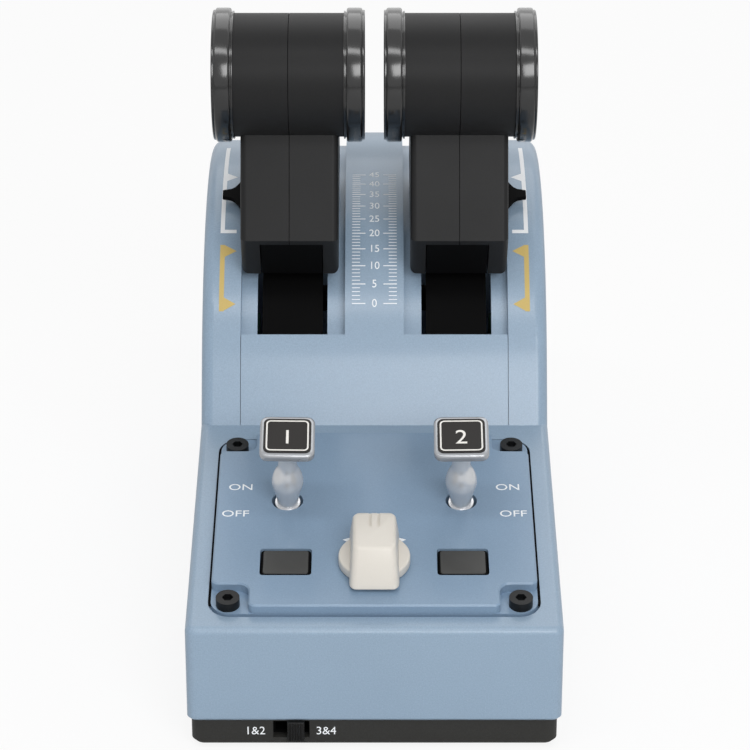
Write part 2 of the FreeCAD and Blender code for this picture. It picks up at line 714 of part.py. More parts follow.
def panel_plate():
    body = new_body("panel_plate", PANEL_FRAME)
    half = PLATE_WIDTH / 2
    low, high = D["plate_front"], D["plate_back"]
    pad(body, rectangles(body, "XY", PLATE_UNDER, [(-half, low, half * 2, high - low)]),
        PLATE_TOP - PLATE_UNDER)
    dress(body, "Fillet", lambda e: along(e, 2), D["plate_corner"])
    ledge = D["ledge_width"]
    front, back = D["ledge_front"], D["ledge_back"]
    cut(body, rectangles(body, "XY", PLATE_TOP, [
        (-half - 1, low - 1, ledge + 1, front + 1), (half - ledge, low - 1, ledge + 1, front + 1),
        (-half - 1, high - back, ledge + 1, back + 1),
        (half - ledge, high - back, ledge + 1, back + 1)]), PLATE_TOP - D["ledge_height"])
    inner_x = float(half - ledge)
    corners = (float(low + front), float(high - back))
    dress(body, "Fillet", lambda e: (
        along(e, 2) and abs(abs(e.CenterOfMass.x) - inner_x) < 1e-3
        and min(abs(e.CenterOfMass.y - c) for c in corners) < 1e-3), 3.5)
    dress(body, "Fillet", lambda e: (
        along(e, 2) and e.BoundBox.ZMin > 0 and e.BoundBox.ZMax > float(PLATE_TOP) - 1e-3
        and abs(e.Length - float(PLATE_TOP - D["ledge_height"])) < 1e-3
        and (abs(abs(e.CenterOfMass.x) - float(half)) < 1e-3
             or min(abs(e.CenterOfMass.y - float(low)), abs(e.CenterOfMass.y - float(high)))
             < 1e-3)), 2.0)
    dress(body, "Chamfer", lambda e: at(e, 2, PLATE_TOP), 0.5)
    cut(body, circles(body, "XY", PLATE_TOP, [
        (-D["toggle_x"], D["toggle_u"], D["toggle_hole"]),
        (D["toggle_x"], D["toggle_u"], D["toggle_hole"]),
        (0, D["selector_u"], 3.0 + D["running_gap"])]), 6.0)
    wide, long = D["button_width"], D["button_length"]
    places = [(side * D["button_x"] - wide / 2, D["button_u"] - long / 2, wide, long)
              for name, side in SIDES]
    cut(body, rectangles(body, "XY", PLATE_TOP, places), 6.0)
    reach = float(PLATE_TOP - PLATE_UNDER)
    dress(body, "Fillet", lambda e: (
        along(e, 2) and abs(e.Length - reach) < 1e-3
        and abs(abs(e.CenterOfMass.x) - float(D["button_x"])) < float(wide) / 2 + 0.1), 1.2)
    cut(body, circles(body, "XY", PLATE_TOP, [
        (x * SCREW_X, u, 2.0 + D["running_gap"])
        for x in (-1, 1) for u in (D["screw_front"], D["screw_back"])]), 6.0)
    return body


def panel_screws():
    places = [(x * SCREW_X, u) for x in (-1, 1) for u in (D["screw_front"], D["screw_back"])]
    return screws("panel_screws", places, 2.0, 9.0, D["screw_head"], D["screw_head_height"],
                  offset=D["ledge_height"],
                  place=PANEL_FRAME, socket=1.75)


def panel_board():
    body = new_body("panel_board", PANEL_FRAME)
    pad(body, rectangles(body, "XY", BOARD_TOP, [(-38.0, 18.0, 76.0, 52.0)]),
        D["board_thickness"], reverse=True)
    return body


def toggle_switch(name, side):
    body = new_body("toggle_switch_" + name, PANEL_FRAME)
    x, u = side * D["toggle_x"], D["toggle_u"]
    pad(body, rectangles(body, "XY", PLATE_UNDER, [(x - 6.5, u - 6.5, 13.0, 13.0)]),
        D["board_drop"], reverse=True)
    cut(body, circles(body, "XY", PLATE_UNDER, [(x, u, 4.0 + D["running_gap"])]), 4.5)
    return body


def toggle_bat(name, side):
    place = toggle_place(side)
    body = new_body("toggle_bat_" + name, place)
    wide = float(D["bulb_radius"])
    end = float(D["toggle_reach"] + D["toggle_depth"] - 1.4)
    profile = outline(body, "YZ", 0, (0.0, -4.0), [
        (2.0, -3.46),
        (3.46, -2.0),
        (4.0, 0.0),
        (3.2, 2.4),
        (3.3, 4.0),
        (3.8, 4.5),
        (3.8, 5.0),
        (3.6, 5.4),
        (wide, 13.6),
        (wide - 0.1, 15.4),
        (wide - 0.55, 18.0),
        (wide - 1.2, 20.2),
        (3.15, 22.0),
        (3.0, 22.6),
        (3.0, end),
        (0.0, end),
    ])
    revolve(body, profile, "V_Axis")
    return body


def toggle_cap(name, side):
    place = toggle_place(side)
    body = new_body("toggle_cap_" + name, place)
    size, thick = D["cap_size"], D["cap_thickness"]
    top = D["toggle_reach"] + D["toggle_depth"]
    pad(body, rectangles(body, "XY", top - thick, [(-size / 2, -size / 2, size, size)]), thick)
    dress(body, "Fillet", lambda e: along(e, 2), D["cap_corner"])
    dress(body, "Chamfer", lambda e: at(e, 2, top), 0.5)
    cut(body, circles(body, "XY", top - thick, [(0, 0, 3.0 + D["fit_gap"])]), 1.85, reverse=True)
    return body


def toggle_label(name, side):
    place = toggle_place(side)
    body = new_body("toggle_label_" + name, place)
    wide, high = D["label_width"], D["label_height"]
    top = D["toggle_reach"] + D["toggle_depth"]
    pad(body, rectangles(body, "XY", top, [(-wide / 2, -high / 2, wide, high)]), 0.3)
    dress(body, "Fillet", lambda e: along(e, 2), 2.0)
    return body


def selector_switch():
    body = new_body("selector_switch", PANEL_FRAME)
    u = D["selector_u"]
    pad(body, rectangles(body, "XY", PLATE_UNDER, [(-7.0, u - 7.0, 14.0, 14.0)]),
        D["board_drop"], reverse=True)
    cut(body, circles(body, "XY", PLATE_UNDER, [(0, u, 3.0 + D["running_gap"])]), 8.0)
    return body


def selector_knob():
    body = new_body("selector_knob", on_panel(0, D["selector_u"], PLATE_TOP))
    disc = D["disc_thickness"]
    pad(body, circles(body, "XY", GAP, [(0, 0, D["disc_radius"])]), disc)
    dress(body, "Chamfer", lambda e: at(e, 2, GAP + disc), 0.5)
    pad(body, circles(body, "XY", GAP, [(0, 0, 3.0)]), 11.5, reverse=True)
    long, wide = D["grip_length"], D["grip_width"]
    foot = rectangles(body, "XY", 1.0, [(-wide / 2, -long / 2, wide, long)])
    long, wide = D["grip_top_length"], D["grip_top_width"]
    head = rectangles(body, "XY", D["grip_height"], [(-wide / 2, -long / 2, wide, long)])
    loft = body.newObject("PartDesign::AdditiveLoft", "grip_loft")
    loft.Profile = foot
    loft.Sections = [head]
    loft.Ruled = True
    DOC.recompute()
    top = float(D["grip_height"])
    dress(body, "Chamfer", lambda e: (
        e.BoundBox.ZMax > top - 1e-3 and e.BoundBox.ZMin < 2.0), 1.4)
    dress(body, "Chamfer", lambda e: at(e, 2, top), 0.7)
    cut(body, rectangles(body, "XY", D["grip_height"], [
        (-1.75, 1.6, 0.9, 12.0), (0.85, 1.6, 0.9, 12.0)]), 0.6)
    return body


def push_button(name, side):
    body = new_body("push_button_" + name, PANEL_FRAME)
    x, u = side * D["button_x"], D["button_u"]
    wide, long = D["button_width"] - GAP * 2, D["button_length"] - GAP * 2
    top = PLATE_TOP - 0.3
    pad(body, rectangles(body, "XY", top, [(x - wide / 2, u - long / 2, wide, long)]), 7.8,
        reverse=True)
    dress(body, "Fillet", lambda e: along(e, 2), 1.0)
    dress(body, "Chamfer", lambda e: at(e, 2, top), 0.4)
    pad(body, circles(body, "XY", top - 7.8, [(x, u, 2.0)]), 3.4, reverse=True)
    return body


def button_switches():
    body = new_body("button_switches", PANEL_FRAME)
    places = [(side * D["button_x"], D["button_u"]) for name, side in SIDES]
    pad(body, rectangles(body, "XY", BOARD_TOP, [(x - 6, u - 6, 12.0, 12.0) for x, u in places]),
        5.8)
    cut(body, circles(body, "XY", BOARD_TOP + 5.8, [
        (x, u, 2.0 + D["running_gap"]) for x, u in places]), 4.6)
    return body


def slide_switch():
    body = new_body("slide_switch")
    inner = -(FRONT_Y + D["side_wall"] + 0.2 + D["lip_thickness"] + SEAT)
    x = -D["slider_x"] - 7.4
    pad(body, rectangles(body, "XZ", inner, [(x, 4.0, 12.0, 6.4)]), 7.0, reverse=True)
    cut(body, rectangles(body, "XZ", inner, [(x + 1, 5.0, 10.0, 4.2)]), 5.0)
    return body


def slide_knob():
    body = new_body("slide_knob")
    start = -(FRONT_Y - D["slider_proud"])
    x = -D["slider_x"] - 2.65
    pad(body, rectangles(body, "XZ", start, [(x, 5.35, 5.3, 3.5)]), 8.4, reverse=True)
    dress(body, "Fillet", lambda e: at(e, 1, -start), 0.4)
    return body


# ---------------------------------------------------------------------------
# Lever bearings
# ---------------------------------------------------------------------------

HUB_IN = float(D["lever_x"] - D["hub_length"] / 2)
HUB_OUT = float(D["lever_x"] + D["hub_length"] / 2)
BRACKET_IN = HUB_OUT + GAP + float(D["washer_thickness"])
PLATE_IN = 9.6
AXIS = (PIVOT_Y, PIVOT_Z)


def main_shaft():
    body = new_body("main_shaft")
    half = D["shaft_length"] / 2
    groove = Size(BRACKET_IN, "(%r)" % BRACKET_IN) + D["bracket_thickness"] + 0.2
    pad(body, circles(body, "YZ", 0, [(*AXIS, D["shaft_radius"])]), half * 2, both=True)
    for side in (-1, 1):
        ring = circles(body, "YZ", side * groove, [(*AXIS, 6.0), (*AXIS, 3.2)])
        cut(body, ring, 1.1, reverse=side > 0)
    return body


def shaft_clips():
    body = new_body("shaft_clips")
    groove = BRACKET_IN + D["bracket_thickness"] + 0.25
    for side in (-1, 1):
        ring = circles(body, "YZ", side * groove, [(*AXIS, 7.0), (*AXIS, 3.22)])
        pad(body, ring, 1.0, reverse=side < 0)
    cut(body, rectangles(body, "YZ", 0, [
        (PIVOT_Y - 2.6, PIVOT_Z, 5.2, 12.0)]), D["shaft_length"], both=True)
    return body


def bracket(label, inner, thick, flange, screw_x, top):
    """An upright with a round top, a shaft hole and a foot."""
    body = new_body(label)
    base = float(PLATFORM_TOP)
    centre = inner + thick / 2
    pad(body, outline(body, "YZ", centre, (PIVOT_Y - 12.5, base), [
        (PIVOT_Y - 12.5, top - 12.5),
        ((PIVOT_Y, top), (PIVOT_Y + 12.5, top - 12.5)),
        (PIVOT_Y + 12.5, base),
    ]), abs(thick), both=True)
    low, high = flange
    pad(body, rectangles(body, "XY", PLATFORM_TOP, [(low, PIVOT_Y - 12.5, high - low, 25.0)]),
        3.0)
    cut(body, circles(body, "YZ", centre, [(*AXIS, D["shaft_radius"] + D["fit_gap"])]),
        abs(thick) + 2, both=True)
    cut(body, circles(body, "XY", PLATFORM_TOP + 3.0, [
        (x, PIVOT_Y + y, 1.5 + D["running_gap"]) for x in screw_x for y in (-8.5, 8.5)]), 3.0)
    return body


def brackets():
    thick = float(D["bracket_thickness"])
    for name, side in SIDES:
        inner = BRACKET_IN if side > 0 else -BRACKET_IN - thick
        foot = (32.4, BRACKET_IN + 1) if side > 0 else (-BRACKET_IN - 1, -32.4)
        bracket("bracket_" + name, inner, thick, foot, (side * 37.4,), PIVOT_Z + 36.0)
    half = float(D["centre_thickness"]) / 2
    bracket("bracket_centre", -half, half * 2, (-9.4, 9.4), (-6.6, 6.6), PIVOT_Z + 12.5)


def bracket_screws():
    return screws("bracket_screws", BRACKET_SCREWS, 1.5, 7.0, 2.7, 1.6,
                  offset=PLATFORM_TOP + 3.0)


def spacer_sleeves():
    body = new_body("spacer_sleeves")
    low = D["centre_thickness"] / 2 + 0.05
    bore = D["shaft_radius"] + D["running_gap"]
    for side in (-1, 1):
        ring = circles(body, "YZ", side * low, [(*AXIS, 6.0), (*AXIS, bore)])
        pad(body, ring, HUB_IN - GAP - low, reverse=side < 0)
    return body


def friction_washers():
    body = new_body("friction_washers")
    bore = D["shaft_radius"] + D["running_gap"]
    for side in (-1, 1):
        ring = circles(body, "YZ", side * BRACKET_IN, [(*AXIS, 11.0), (*AXIS, bore)])
        pad(body, ring, D["washer_thickness"], reverse=side > 0)
    return body


def detent_plate(name, side):
    body = new_body("detent_plate_" + name)
    base = float(PLATFORM_TOP)
    thick = float(D["detent_thickness"])
    outer = PLATE_IN + thick
    rim = float(D["detent_radius"]) + 5.0
    pad(body, outline(body, "YZ", side * PLATE_IN, (PIVOT_Y - 12.5, base), [
        (PIVOT_Y - 12.5, PIVOT_Z - 6),
        polar(rim, 56),
        (polar(rim, 22), polar(rim, -12)),
        (PIVOT_Y + 12.5, PIVOT_Z - 6),
        (PIVOT_Y + 12.5, base),
    ]), thick, reverse=side < 0)
    foot_low = PLATE_IN if side > 0 else -20.0
    pad(body, rectangles(body, "XY", PLATFORM_TOP, [
        (foot_low, PIVOT_Y - 12.5, 20.0 - PLATE_IN, 25.0)]), 3.0)
    cut(body, circles(body, "YZ", side * PLATE_IN, [(*AXIS, 6.4)]), thick * 2 + 1, both=True)
    for angle in DETENTS:
        y, z = polar(D["detent_radius"], angle)
        cut(body, circles(body, "YZ", side * outer, [(y, z, 1.6)]), 0.6, reverse=side < 0)
    cut(body, circles(body, "XY", PLATFORM_TOP + 3.0, [
        (side * 16.5, PIVOT_Y + y, 1.5 + D["running_gap"]) for y in (-8.5, 8.5)]), 3.0)
    return body


def sensor_boards():
    body = new_body("sensor_boards")
    for side in (-1, 1):
        board = rectangles(body, "YZ", side * BRACKET_IN, [
            (PIVOT_Y - 8.0, PIVOT_Z + 14.0, 16.0, 12.0)])
        pad(body, board, 1.2, reverse=side > 0)
    return body


# ---------------------------------------------------------------------------
# Levers, in a frame on the shaft with Z along the lever
# ---------------------------------------------------------------------------

LOCAL = (0.0, 0.0)
CHIN_LOW = polar(SKIRT_RADIUS, 22.3, LOCAL)
CHIN_HIGH = (-40.2, float(SKIRT_RADIUS) + 12.2)
FACE_TOP = (-15.8, float(D["knob_height"]) - 12.3)
BACK_TOP = (15.0, float(D["knob_height"]) - 13.3)
BACK_LOW = polar(SKIRT_RADIUS, -12.5, LOCAL)
SKIRT = [CHIN_LOW, CHIN_HIGH, FACE_TOP, BACK_TOP, BACK_LOW]
KNOB = (0.0, float(D["knob_height"]))
PINS = (float(SKIRT_RADIUS) + 9.6, float(D["knob_height"]) - 23.5)
TONGUE_HEIGHT = 17.6
SPLIT = 0.1


def lever_place(side):
    return Placement(
        Vector(side * float(D["lever_x"]), PIVOT_Y, PIVOT_Z),
        Rotation(Vector(1, 0, 0), float(D["lever_lean"])))


def head_place(side):
    """The head sits a little further out than the arm inside it."""
    offset = Vector(side * float(D["head_offset"]), 0, 0)
    return lever_place(side) * Placement(offset, Rotation())


def unit(start, end):
    length = math.hypot(end[0] - start[0], end[1] - start[1])
    return (end[0] - start[0]) / length, (end[1] - start[1]) / length


def inset(before, point, after, depth):
    """Where two sides of the skirt meet when both move inwards."""
    a, b = unit(before, point), unit(point, after)
    turn = a[0] * b[1] - a[1] * b[0]
    shift = ((b[1] - a[1]) * depth, (a[0] - b[0]) * depth)
    along_a = (shift[0] * b[1] - shift[1] * b[0]) / turn
    return (point[0] + a[1] * depth + a[0] * along_a,
            point[1] - a[0] * depth + a[1] * along_a)


def chin_point(up, inwards):
    """A point up the chin from its foot and inwards from its face."""
    a = unit(CHIN_LOW, CHIN_HIGH)
    return (CHIN_LOW[0] + a[0] * up + a[1] * inwards, CHIN_LOW[1] + a[1] * up - a[0] * inwards)


def shell(label, side, way, barrel):
    """One half of a lever's hollow head: way +1 extends along +X."""
    body = new_body(label, head_place(side))
    back = way < 0
    half, wall = D["skirt_half"], D["shell_wall"]
    pad(body, outline(body, "YZ", -half if back else SPLIT, CHIN_LOW, [
        CHIN_HIGH, FACE_TOP, BACK_TOP, BACK_LOW]), half - SPLIT)
    edge_x = way * float(half)
    cut(body, circles(body, "YZ", 0, [(*LOCAL, SKIRT_RADIUS)]), half * 2 + 2, both=True)
    dress(body, "Fillet", lambda e: along(e, 0) and e.CenterOfMass.z < SKIRT_RADIUS.value, 1.0)
    dress(body, "Fillet", lambda e: at(e, 0, edge_x) and e.CenterOfMass.z < FACE_TOP[1] - 3, 2.0)
    pad(body, circles(body, "YZ", way * SPLIT, [(*KNOB, D["knob_radius"])]), barrel - SPLIT,
        reverse=back)
    thick = float(wall)
    inner_radius = SKIRT_RADIUS + wall
    low = inset(CHIN_LOW, CHIN_HIGH, FACE_TOP, thick)
    chin = chin_point(3.2, thick)
    tail = (BACK_LOW[0] - thick, BACK_LOW[1] + 4.0)
    corner = polar(inner_radius, angle_at(inner_radius, chin[0], LOCAL), LOCAL)
    cut(body, outline(body, "YZ", 0, low, [
        (-12.0, FACE_TOP[1]),
        (BACK_TOP[0] - thick, FACE_TOP[1]),
        tail,
        on_arc(inner_radius, tail[0], LOCAL),
        (polar(inner_radius, 5, LOCAL), corner),
    ]), half - wall, reverse=not back)
    cut(body, circles(body, "YZ", 0, [(*KNOB, D["knob_radius"] - wall)]), barrel - wall,
        reverse=not back)
    reach = D["blade_width"] / 2 + 0.05 - way * side * D["head_offset"]
    boss_length = half - wall + 0.5 - reach
    pad(body, circles(body, "YZ", way * reach, [(0.0, z, 4.0) for z in PINS]),
        boss_length, reverse=back)
    notch = outline(body, "YZ", 0, polar(SKIRT_RADIUS - 3, -8.6, LOCAL), [
        polar(inner_radius + 1.2, -8.6, LOCAL),
        polar(inner_radius + 1.2, 10, LOCAL),
        chin_point(TONGUE_HEIGHT, thick + 0.8),
        chin_point(TONGUE_HEIGHT, -3.0),
        chin_point(-6.0, -3.0),
    ])
    cut(body, notch, reach + 0.25, reverse=not back)
    if way == side:
        hole, deep = 1.5 + D["fit_gap"], 13.4
    else:
        hole, deep = 1.5 + D["running_gap"], 20.0
        cut(body, circles(body, "YZ", way * half, [(0.0, z, 2.7) for z in PINS]), 2.0,
            reverse=back)
    cut(body, circles(body, "YZ", 0, [(0.0, z, hole) for z in PINS]), deep,
        reverse=not back)
    return body


def rings(name, side):
    outer = new_body("ring_outer_" + name, head_place(side))
    start, wide = side * D["barrel_outer"], D["ring_outer_width"]
    pad(outer, circles(outer, "YZ", start, [(*KNOB, D["ring_radius"])]), wide, reverse=side < 0)
    dress(outer, "Chamfer", lambda e: e.Length > 100 and (
        at(e, 0, start) or at(e, 0, start + side * wide)), 1.5)
    cut(outer, circles(outer, "YZ", start, [(*KNOB, D["disconnect_radius"] + GAP)]), wide + 1,
        reverse=side > 0)
    inner = new_body("ring_inner_" + name, head_place(side))
    start, wide = -side * D["barrel_inner"], D["ring_inner_width"]
    pad(inner, circles(inner, "YZ", start, [(*KNOB, D["ring_radius"])]), wide, reverse=side > 0)
    dress(inner, "Chamfer", lambda e: e.Length > 100, 1.5)


def disconnect_button(name, side):
    body = new_body("disconnect_button_" + name, head_place(side))
    start = D["barrel_outer"] + D["disconnect_travel"] + GAP
    end = D["barrel_outer"] + D["ring_outer_width"] - 0.3
    pad(body, circles(body, "YZ", side * start, [(*KNOB, D["disconnect_radius"])]), end - start,
        reverse=side < 0)
    dress(body, "Chamfer", lambda e: at(e, 0, side * end), 0.8)
    return body


def pointer(name, side):
    body = new_body("pointer_" + name, head_place(side))
    root, tip, middle = float(D["skirt_half"]) + 0.02, 23.5, -3.6
    neck, curve = side * (root + 2.4), side * (root + 0.75)
    pad(body, outline(body, "XY", SKIRT_RADIUS + 0.3, (side * tip, middle - 1.7), [
        (neck, middle - 2.4),
        ((curve, middle - 3.6), (side * root, middle - 5.7)),
        (side * root, middle + 5.7),
        ((curve, middle + 3.6), (neck, middle + 2.4)),
        (side * tip, middle + 1.7),
    ]), 1.5)
    return body


def lever_arm(name, side):
    body = new_body("lever_arm_" + name, lever_place(side))
    wide = D["blade_width"]
    bush = D["shaft_radius"] + D["running_gap"] + D["bush_wall"]
    root = BLADE_RADIUS - 1
    pad(body, circles(body, "YZ", 0, [(*LOCAL, D["hub_radius"])]), D["hub_length"], both=True)
    pad(body, outline(body, "YZ", 0, (-10.0, 0.0), [
        (-9.2, float(root)), (8.2, float(root)), (10.0, 0.0)]), 10.0, both=True)
    pad(body, sector(body, 0, BLADE_RADIUS - D["blade_thickness"], BLADE_RADIUS,
                     -D["blade_back"], D["blade_front"], centre=LOCAL), wide, both=True)
    low = float(SKIRT_RADIUS) + 0.4
    pad(body, outline(body, "YZ", 0, polar(root, 7, LOCAL), [
        polar(low, 7, LOCAL),
        (polar(low, 14, LOCAL), chin_point(0.45, 0.4)),
        chin_point(TONGUE_HEIGHT - 0.2, 0.4),
        chin_point(TONGUE_HEIGHT - 0.2, 4.0),
        (-9.0, low + 13.0),
        (-7.0, PINS[1] + 5.0),
        (7.0, PINS[1] + 5.0),
        (8.0, low + 6.0),
        polar(low, -8, LOCAL),
        polar(root, -8, LOCAL),
    ]), wide, both=True)
    pin = float(D["detent_radius"])
    boss = Size(HUB_IN, "(%r)" % HUB_IN) + 0.4 - D["lever_x"]
    pad(body, circles(body, "YZ", side * boss, [(0.0, pin, 4.5)]), -boss, reverse=side < 0)
    cut(body, circles(body, "YZ", 0, [(*LOCAL, bush + D["fit_gap"])]), D["hub_length"] + 2,
        both=True)
    cut(body, circles(body, "YZ", 0, [(0.0, z, 1.6) for z in PINS]), wide + 2,
        both=True)
    cut(body, circles(body, "YZ", side * boss, [(0.0, pin, 2.0 + D["fit_gap"])]), 8.0,
        reverse=side > 0)
    return body


def small_lever_parts(name, side):
    place = lever_place(side)
    bore = D["shaft_radius"] + D["running_gap"]
    bush = new_body("bush_" + name, place)
    pad(bush, circles(bush, "YZ", 0, [(*LOCAL, bore + D["bush_wall"]), (*LOCAL, bore)]),
        D["hub_length"], both=True)
    plunger = new_body("plunger_" + name, place)
    tip = PLATE_IN + float(D["detent_thickness"]) + 0.35 - float(D["lever_x"])
    pad(plunger, circles(plunger, "YZ", side * tip, [(0.0, D["detent_radius"], 2.0)]), 9.0,
        reverse=side < 0)
    dress(plunger, "Chamfer", lambda e: at(e, 0, side * tip), 1.0)
    half = D["skirt_half"]
    pins = new_body("shell_screws_" + name, head_place(side))
    seat = -side * (half - 2.0)
    pad(pins, circles(pins, "YZ", seat, [(0.0, z, 2.6) for z in PINS]), 1.6,
        reverse=side > 0)
    pad(pins, circles(pins, "YZ", seat, [(0.0, z, 1.5) for z in PINS]), 27.0,
        reverse=side < 0)


def lever(name, side):
    lever_arm(name, side)
    shell("shell_outer_" + name, side, side, D["barrel_outer"])
    shell("shell_inner_" + name, side, -side, D["barrel_inner"])
    rings(name, side)
    pointer(name, side)
    small_lever_parts(name, side)
    disconnect_button(name, side)


def build():
    upper_housing()
    centre_cover()
    base_tray()
    rubber_feet()
    base_screws()
    ballast_plate()
    main_board()
    usb_socket()
    panel_plate()
    panel_screws()
    panel_board()
    for name, side in SIDES:
        toggle_switch(name, side)
        toggle_bat(name, side)
        toggle_cap(name, side)
        toggle_label(name, side)
        push_button(name, side)
        detent_plate(name, side)
        lever(name, side)
    selector_switch()
    selector_knob()
    button_switches()
    slide_switch()
    slide_knob()
    main_shaft()
    shaft_clips()
    brackets()
    bracket_screws()
    spacer_sleeves()
    friction_washers()
    sensor_boards()


def write_parts():
    """Check every part and write it beside this source."""
    DOC.recompute()
    os.makedirs("parts", exist_ok=True)
    for body in PARTS:
        if "Invalid" in body.State or "Error" in body.State:
            raise RuntimeError("%s does not recompute" % body.Label)
        if body.Shape.isNull() or not body.Shape.isValid():
            raise RuntimeError("%s has no valid shape" % body.Label)
        body.Shape.exportStep("parts/%s.step" % body.Label)


build()
write_parts()
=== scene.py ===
import json
import math

import bpy
from bpy.props import FloatProperty, FloatVectorProperty
from mathutils import Matrix, Vector


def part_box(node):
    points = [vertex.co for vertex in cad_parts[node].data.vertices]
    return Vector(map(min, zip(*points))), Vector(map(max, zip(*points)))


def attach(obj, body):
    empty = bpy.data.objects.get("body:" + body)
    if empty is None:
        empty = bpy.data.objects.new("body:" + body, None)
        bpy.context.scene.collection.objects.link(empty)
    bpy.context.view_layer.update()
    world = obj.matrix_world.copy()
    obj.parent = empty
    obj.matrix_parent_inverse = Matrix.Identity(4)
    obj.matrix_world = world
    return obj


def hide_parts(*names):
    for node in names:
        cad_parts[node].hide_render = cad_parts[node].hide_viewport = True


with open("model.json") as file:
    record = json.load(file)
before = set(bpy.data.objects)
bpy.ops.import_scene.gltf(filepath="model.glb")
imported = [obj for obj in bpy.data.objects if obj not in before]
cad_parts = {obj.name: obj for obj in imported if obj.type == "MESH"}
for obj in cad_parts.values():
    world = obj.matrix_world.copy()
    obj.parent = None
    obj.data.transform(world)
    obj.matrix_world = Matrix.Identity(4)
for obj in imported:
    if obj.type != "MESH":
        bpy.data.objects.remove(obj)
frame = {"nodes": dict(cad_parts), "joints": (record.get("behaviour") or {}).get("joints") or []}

bl_info = {
    "name": "Throttle quadrant",
    "version": (1, 0, 0),
    "blender": (4, 5, 0),
    "location": "View3D > Sidebar > Quadrant",
    "description": "Dresses the packed throttle quadrant with its finishes and marks",
    "category": "Object",
}

NODES = frame["nodes"]
JOINTS = {joint["name"]: joint for joint in frame["joints"]}
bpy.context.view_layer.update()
SIDES = (("left", -1), ("right", 1))
MM = 0.001

# The lever shaft, and the arcs of the scale strip and the cheeks about it
SHAFT = Vector(JOINTS["lever_left_turn"]["pos_m"])
STRIP_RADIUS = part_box("centre_cover")[1].z - SHAFT.z
CHEEK_RADIUS = STRIP_RADIUS - 3.2 * MM
APRON = math.radians(62.0)
CHEEK_CENTRE = (
    SHAFT.y - (STRIP_RADIUS - CHEEK_RADIUS) * math.sin(APRON),
    SHAFT.z + (STRIP_RADIUS - CHEEK_RADIUS) * math.cos(APRON),
)

# The engine panel: its normal, its uphill direction and the plate's top
PANEL_NORMAL = Vector(JOINTS["selector_turn"]["axis"])
PANEL_UP = Vector((0.0, PANEL_NORMAL.z, -PANEL_NORMAL.y))
PLATE_SPOT = Vector(JOINTS["selector_turn"]["pos_m"])
SELECTOR_U = 27.9
LEAN = math.radians(11.4)
CANT = math.radians(1.0)
PANEL_SLOPE = math.atan2(-PANEL_NORMAL.y, PANEL_NORMAL.z)
UP = Vector((0.0, 0.0, 1.0))
LEVER_LEAN = math.radians(19.75)
LEVER_X = 28.0
LEVER_GAP = 1.2
BUTTON_U = 28.5

# The gap round the plate, uphill from the panel's front edge, and its rounded outline
GAP_WIDTH = 101.8
GAP_LENGTH = 92.0
GAP_MIDDLE = 52.2
GAP_CORNER = 7.0

# The toggle's label, above its pivot
LABEL_TOP = 35.91

# Soft lamps: place, aim, width, depth, power
LAMPS = (
    ((0.4, -1.5, 0.95), (0, 0, 0.08), 1.0, 0.6, 13.8),
    ((-0.1, -0.7, 1.4), (0, 0, 0.08), 1.5, 0.22, 6.3),
    ((0.1, 1.0, 1.5), (0, 0, 0.1), 1.4, 1.4, 9.0),
)
CAMERA_PLACE = (0.0002, -0.91115, 0.47885)
CAMERA_TILT = math.radians(24.0)
CAMERA_LENS = 143.04


class QuadrantColours(bpy.types.PropertyGroup):
    """Colours of the quadrant's finishes, as they are written in sRGB."""

    housing: FloatVectorProperty(
        name="Housing", description="Blue-grey of the housing",
        default=(0.548, 0.632, 0.712), size=3, subtype="COLOR_GAMMA", min=0, max=1)
    # Painted shade: the plate has the housing's blue, and this deeper blue stands in for the lower
    # light it gets
    panel: FloatVectorProperty(
        name="Panel", description="Deeper blue of the engine panel's plate",
        default=(0.505, 0.598, 0.692), size=3, subtype="COLOR_GAMMA", min=0, max=1)
    tray: FloatVectorProperty(
        name="Tray", description="Black of the base tray",
        default=(0.175, 0.173, 0.166), size=3, subtype="COLOR_GAMMA", min=0, max=1)
    lever: FloatVectorProperty(
        name="Lever", description="Charcoal of the lever shells",
        default=(0.136, 0.136, 0.138), size=3, subtype="COLOR_GAMMA", min=0, max=1)
    ring: FloatVectorProperty(
        name="Rings", description="Black of the knob's end rings",
        default=(0.07, 0.07, 0.072), size=3, subtype="COLOR_GAMMA", min=0, max=1)
    cream: FloatVectorProperty(
        name="Selector", description="Cream white of the rotary selector",
        default=(0.85, 0.83, 0.795), size=3, subtype="COLOR_GAMMA", min=0, max=1)
    silver: FloatVectorProperty(
        name="Toggles", description="Silver grey of the toggle stems",
        default=(0.82, 0.825, 0.835), size=3, subtype="COLOR_GAMMA", min=0, max=1)
    legend: FloatVectorProperty(
        name="Legends", description="Off-white of the printed marks",
        default=(0.95, 0.96, 0.97), size=3, subtype="COLOR_GAMMA", min=0, max=1)
    yellow: FloatVectorProperty(
        name="Reverse marks", description="Yellow of the reverse range marks",
        default=(0.79, 0.69, 0.41), size=3, subtype="COLOR_GAMMA", min=0, max=1)


class QuadrantSizes(bpy.types.PropertyGroup):
    """Sizes of the printed marks and the finishes' grain."""

    mark_height: FloatProperty(
        name="Mark height", description="Printed marks above their surface",
        default=0.04 * MM, unit="LENGTH", min=0, max=0.001, precision=6)
    numeral_size: FloatProperty(
        name="Scale numerals", description="Height of the scale numerals",
        default=3.0 * MM, unit="LENGTH", min=0, max=0.02, precision=6)
    grain: FloatProperty(
        name="Grain", description="Depth of the housing's moulded grain",
        default=0.02 * MM, unit="LENGTH", min=0, max=0.001, precision=6)


# ---------------------------------------------------------------------------
# Finishes
# ---------------------------------------------------------------------------

def linear(colour):
    """A written colour as linear light."""
    return [c / 12.92 if c <= 0.04045 else ((c + 0.055) / 1.055) ** 2.4 for c in colour]


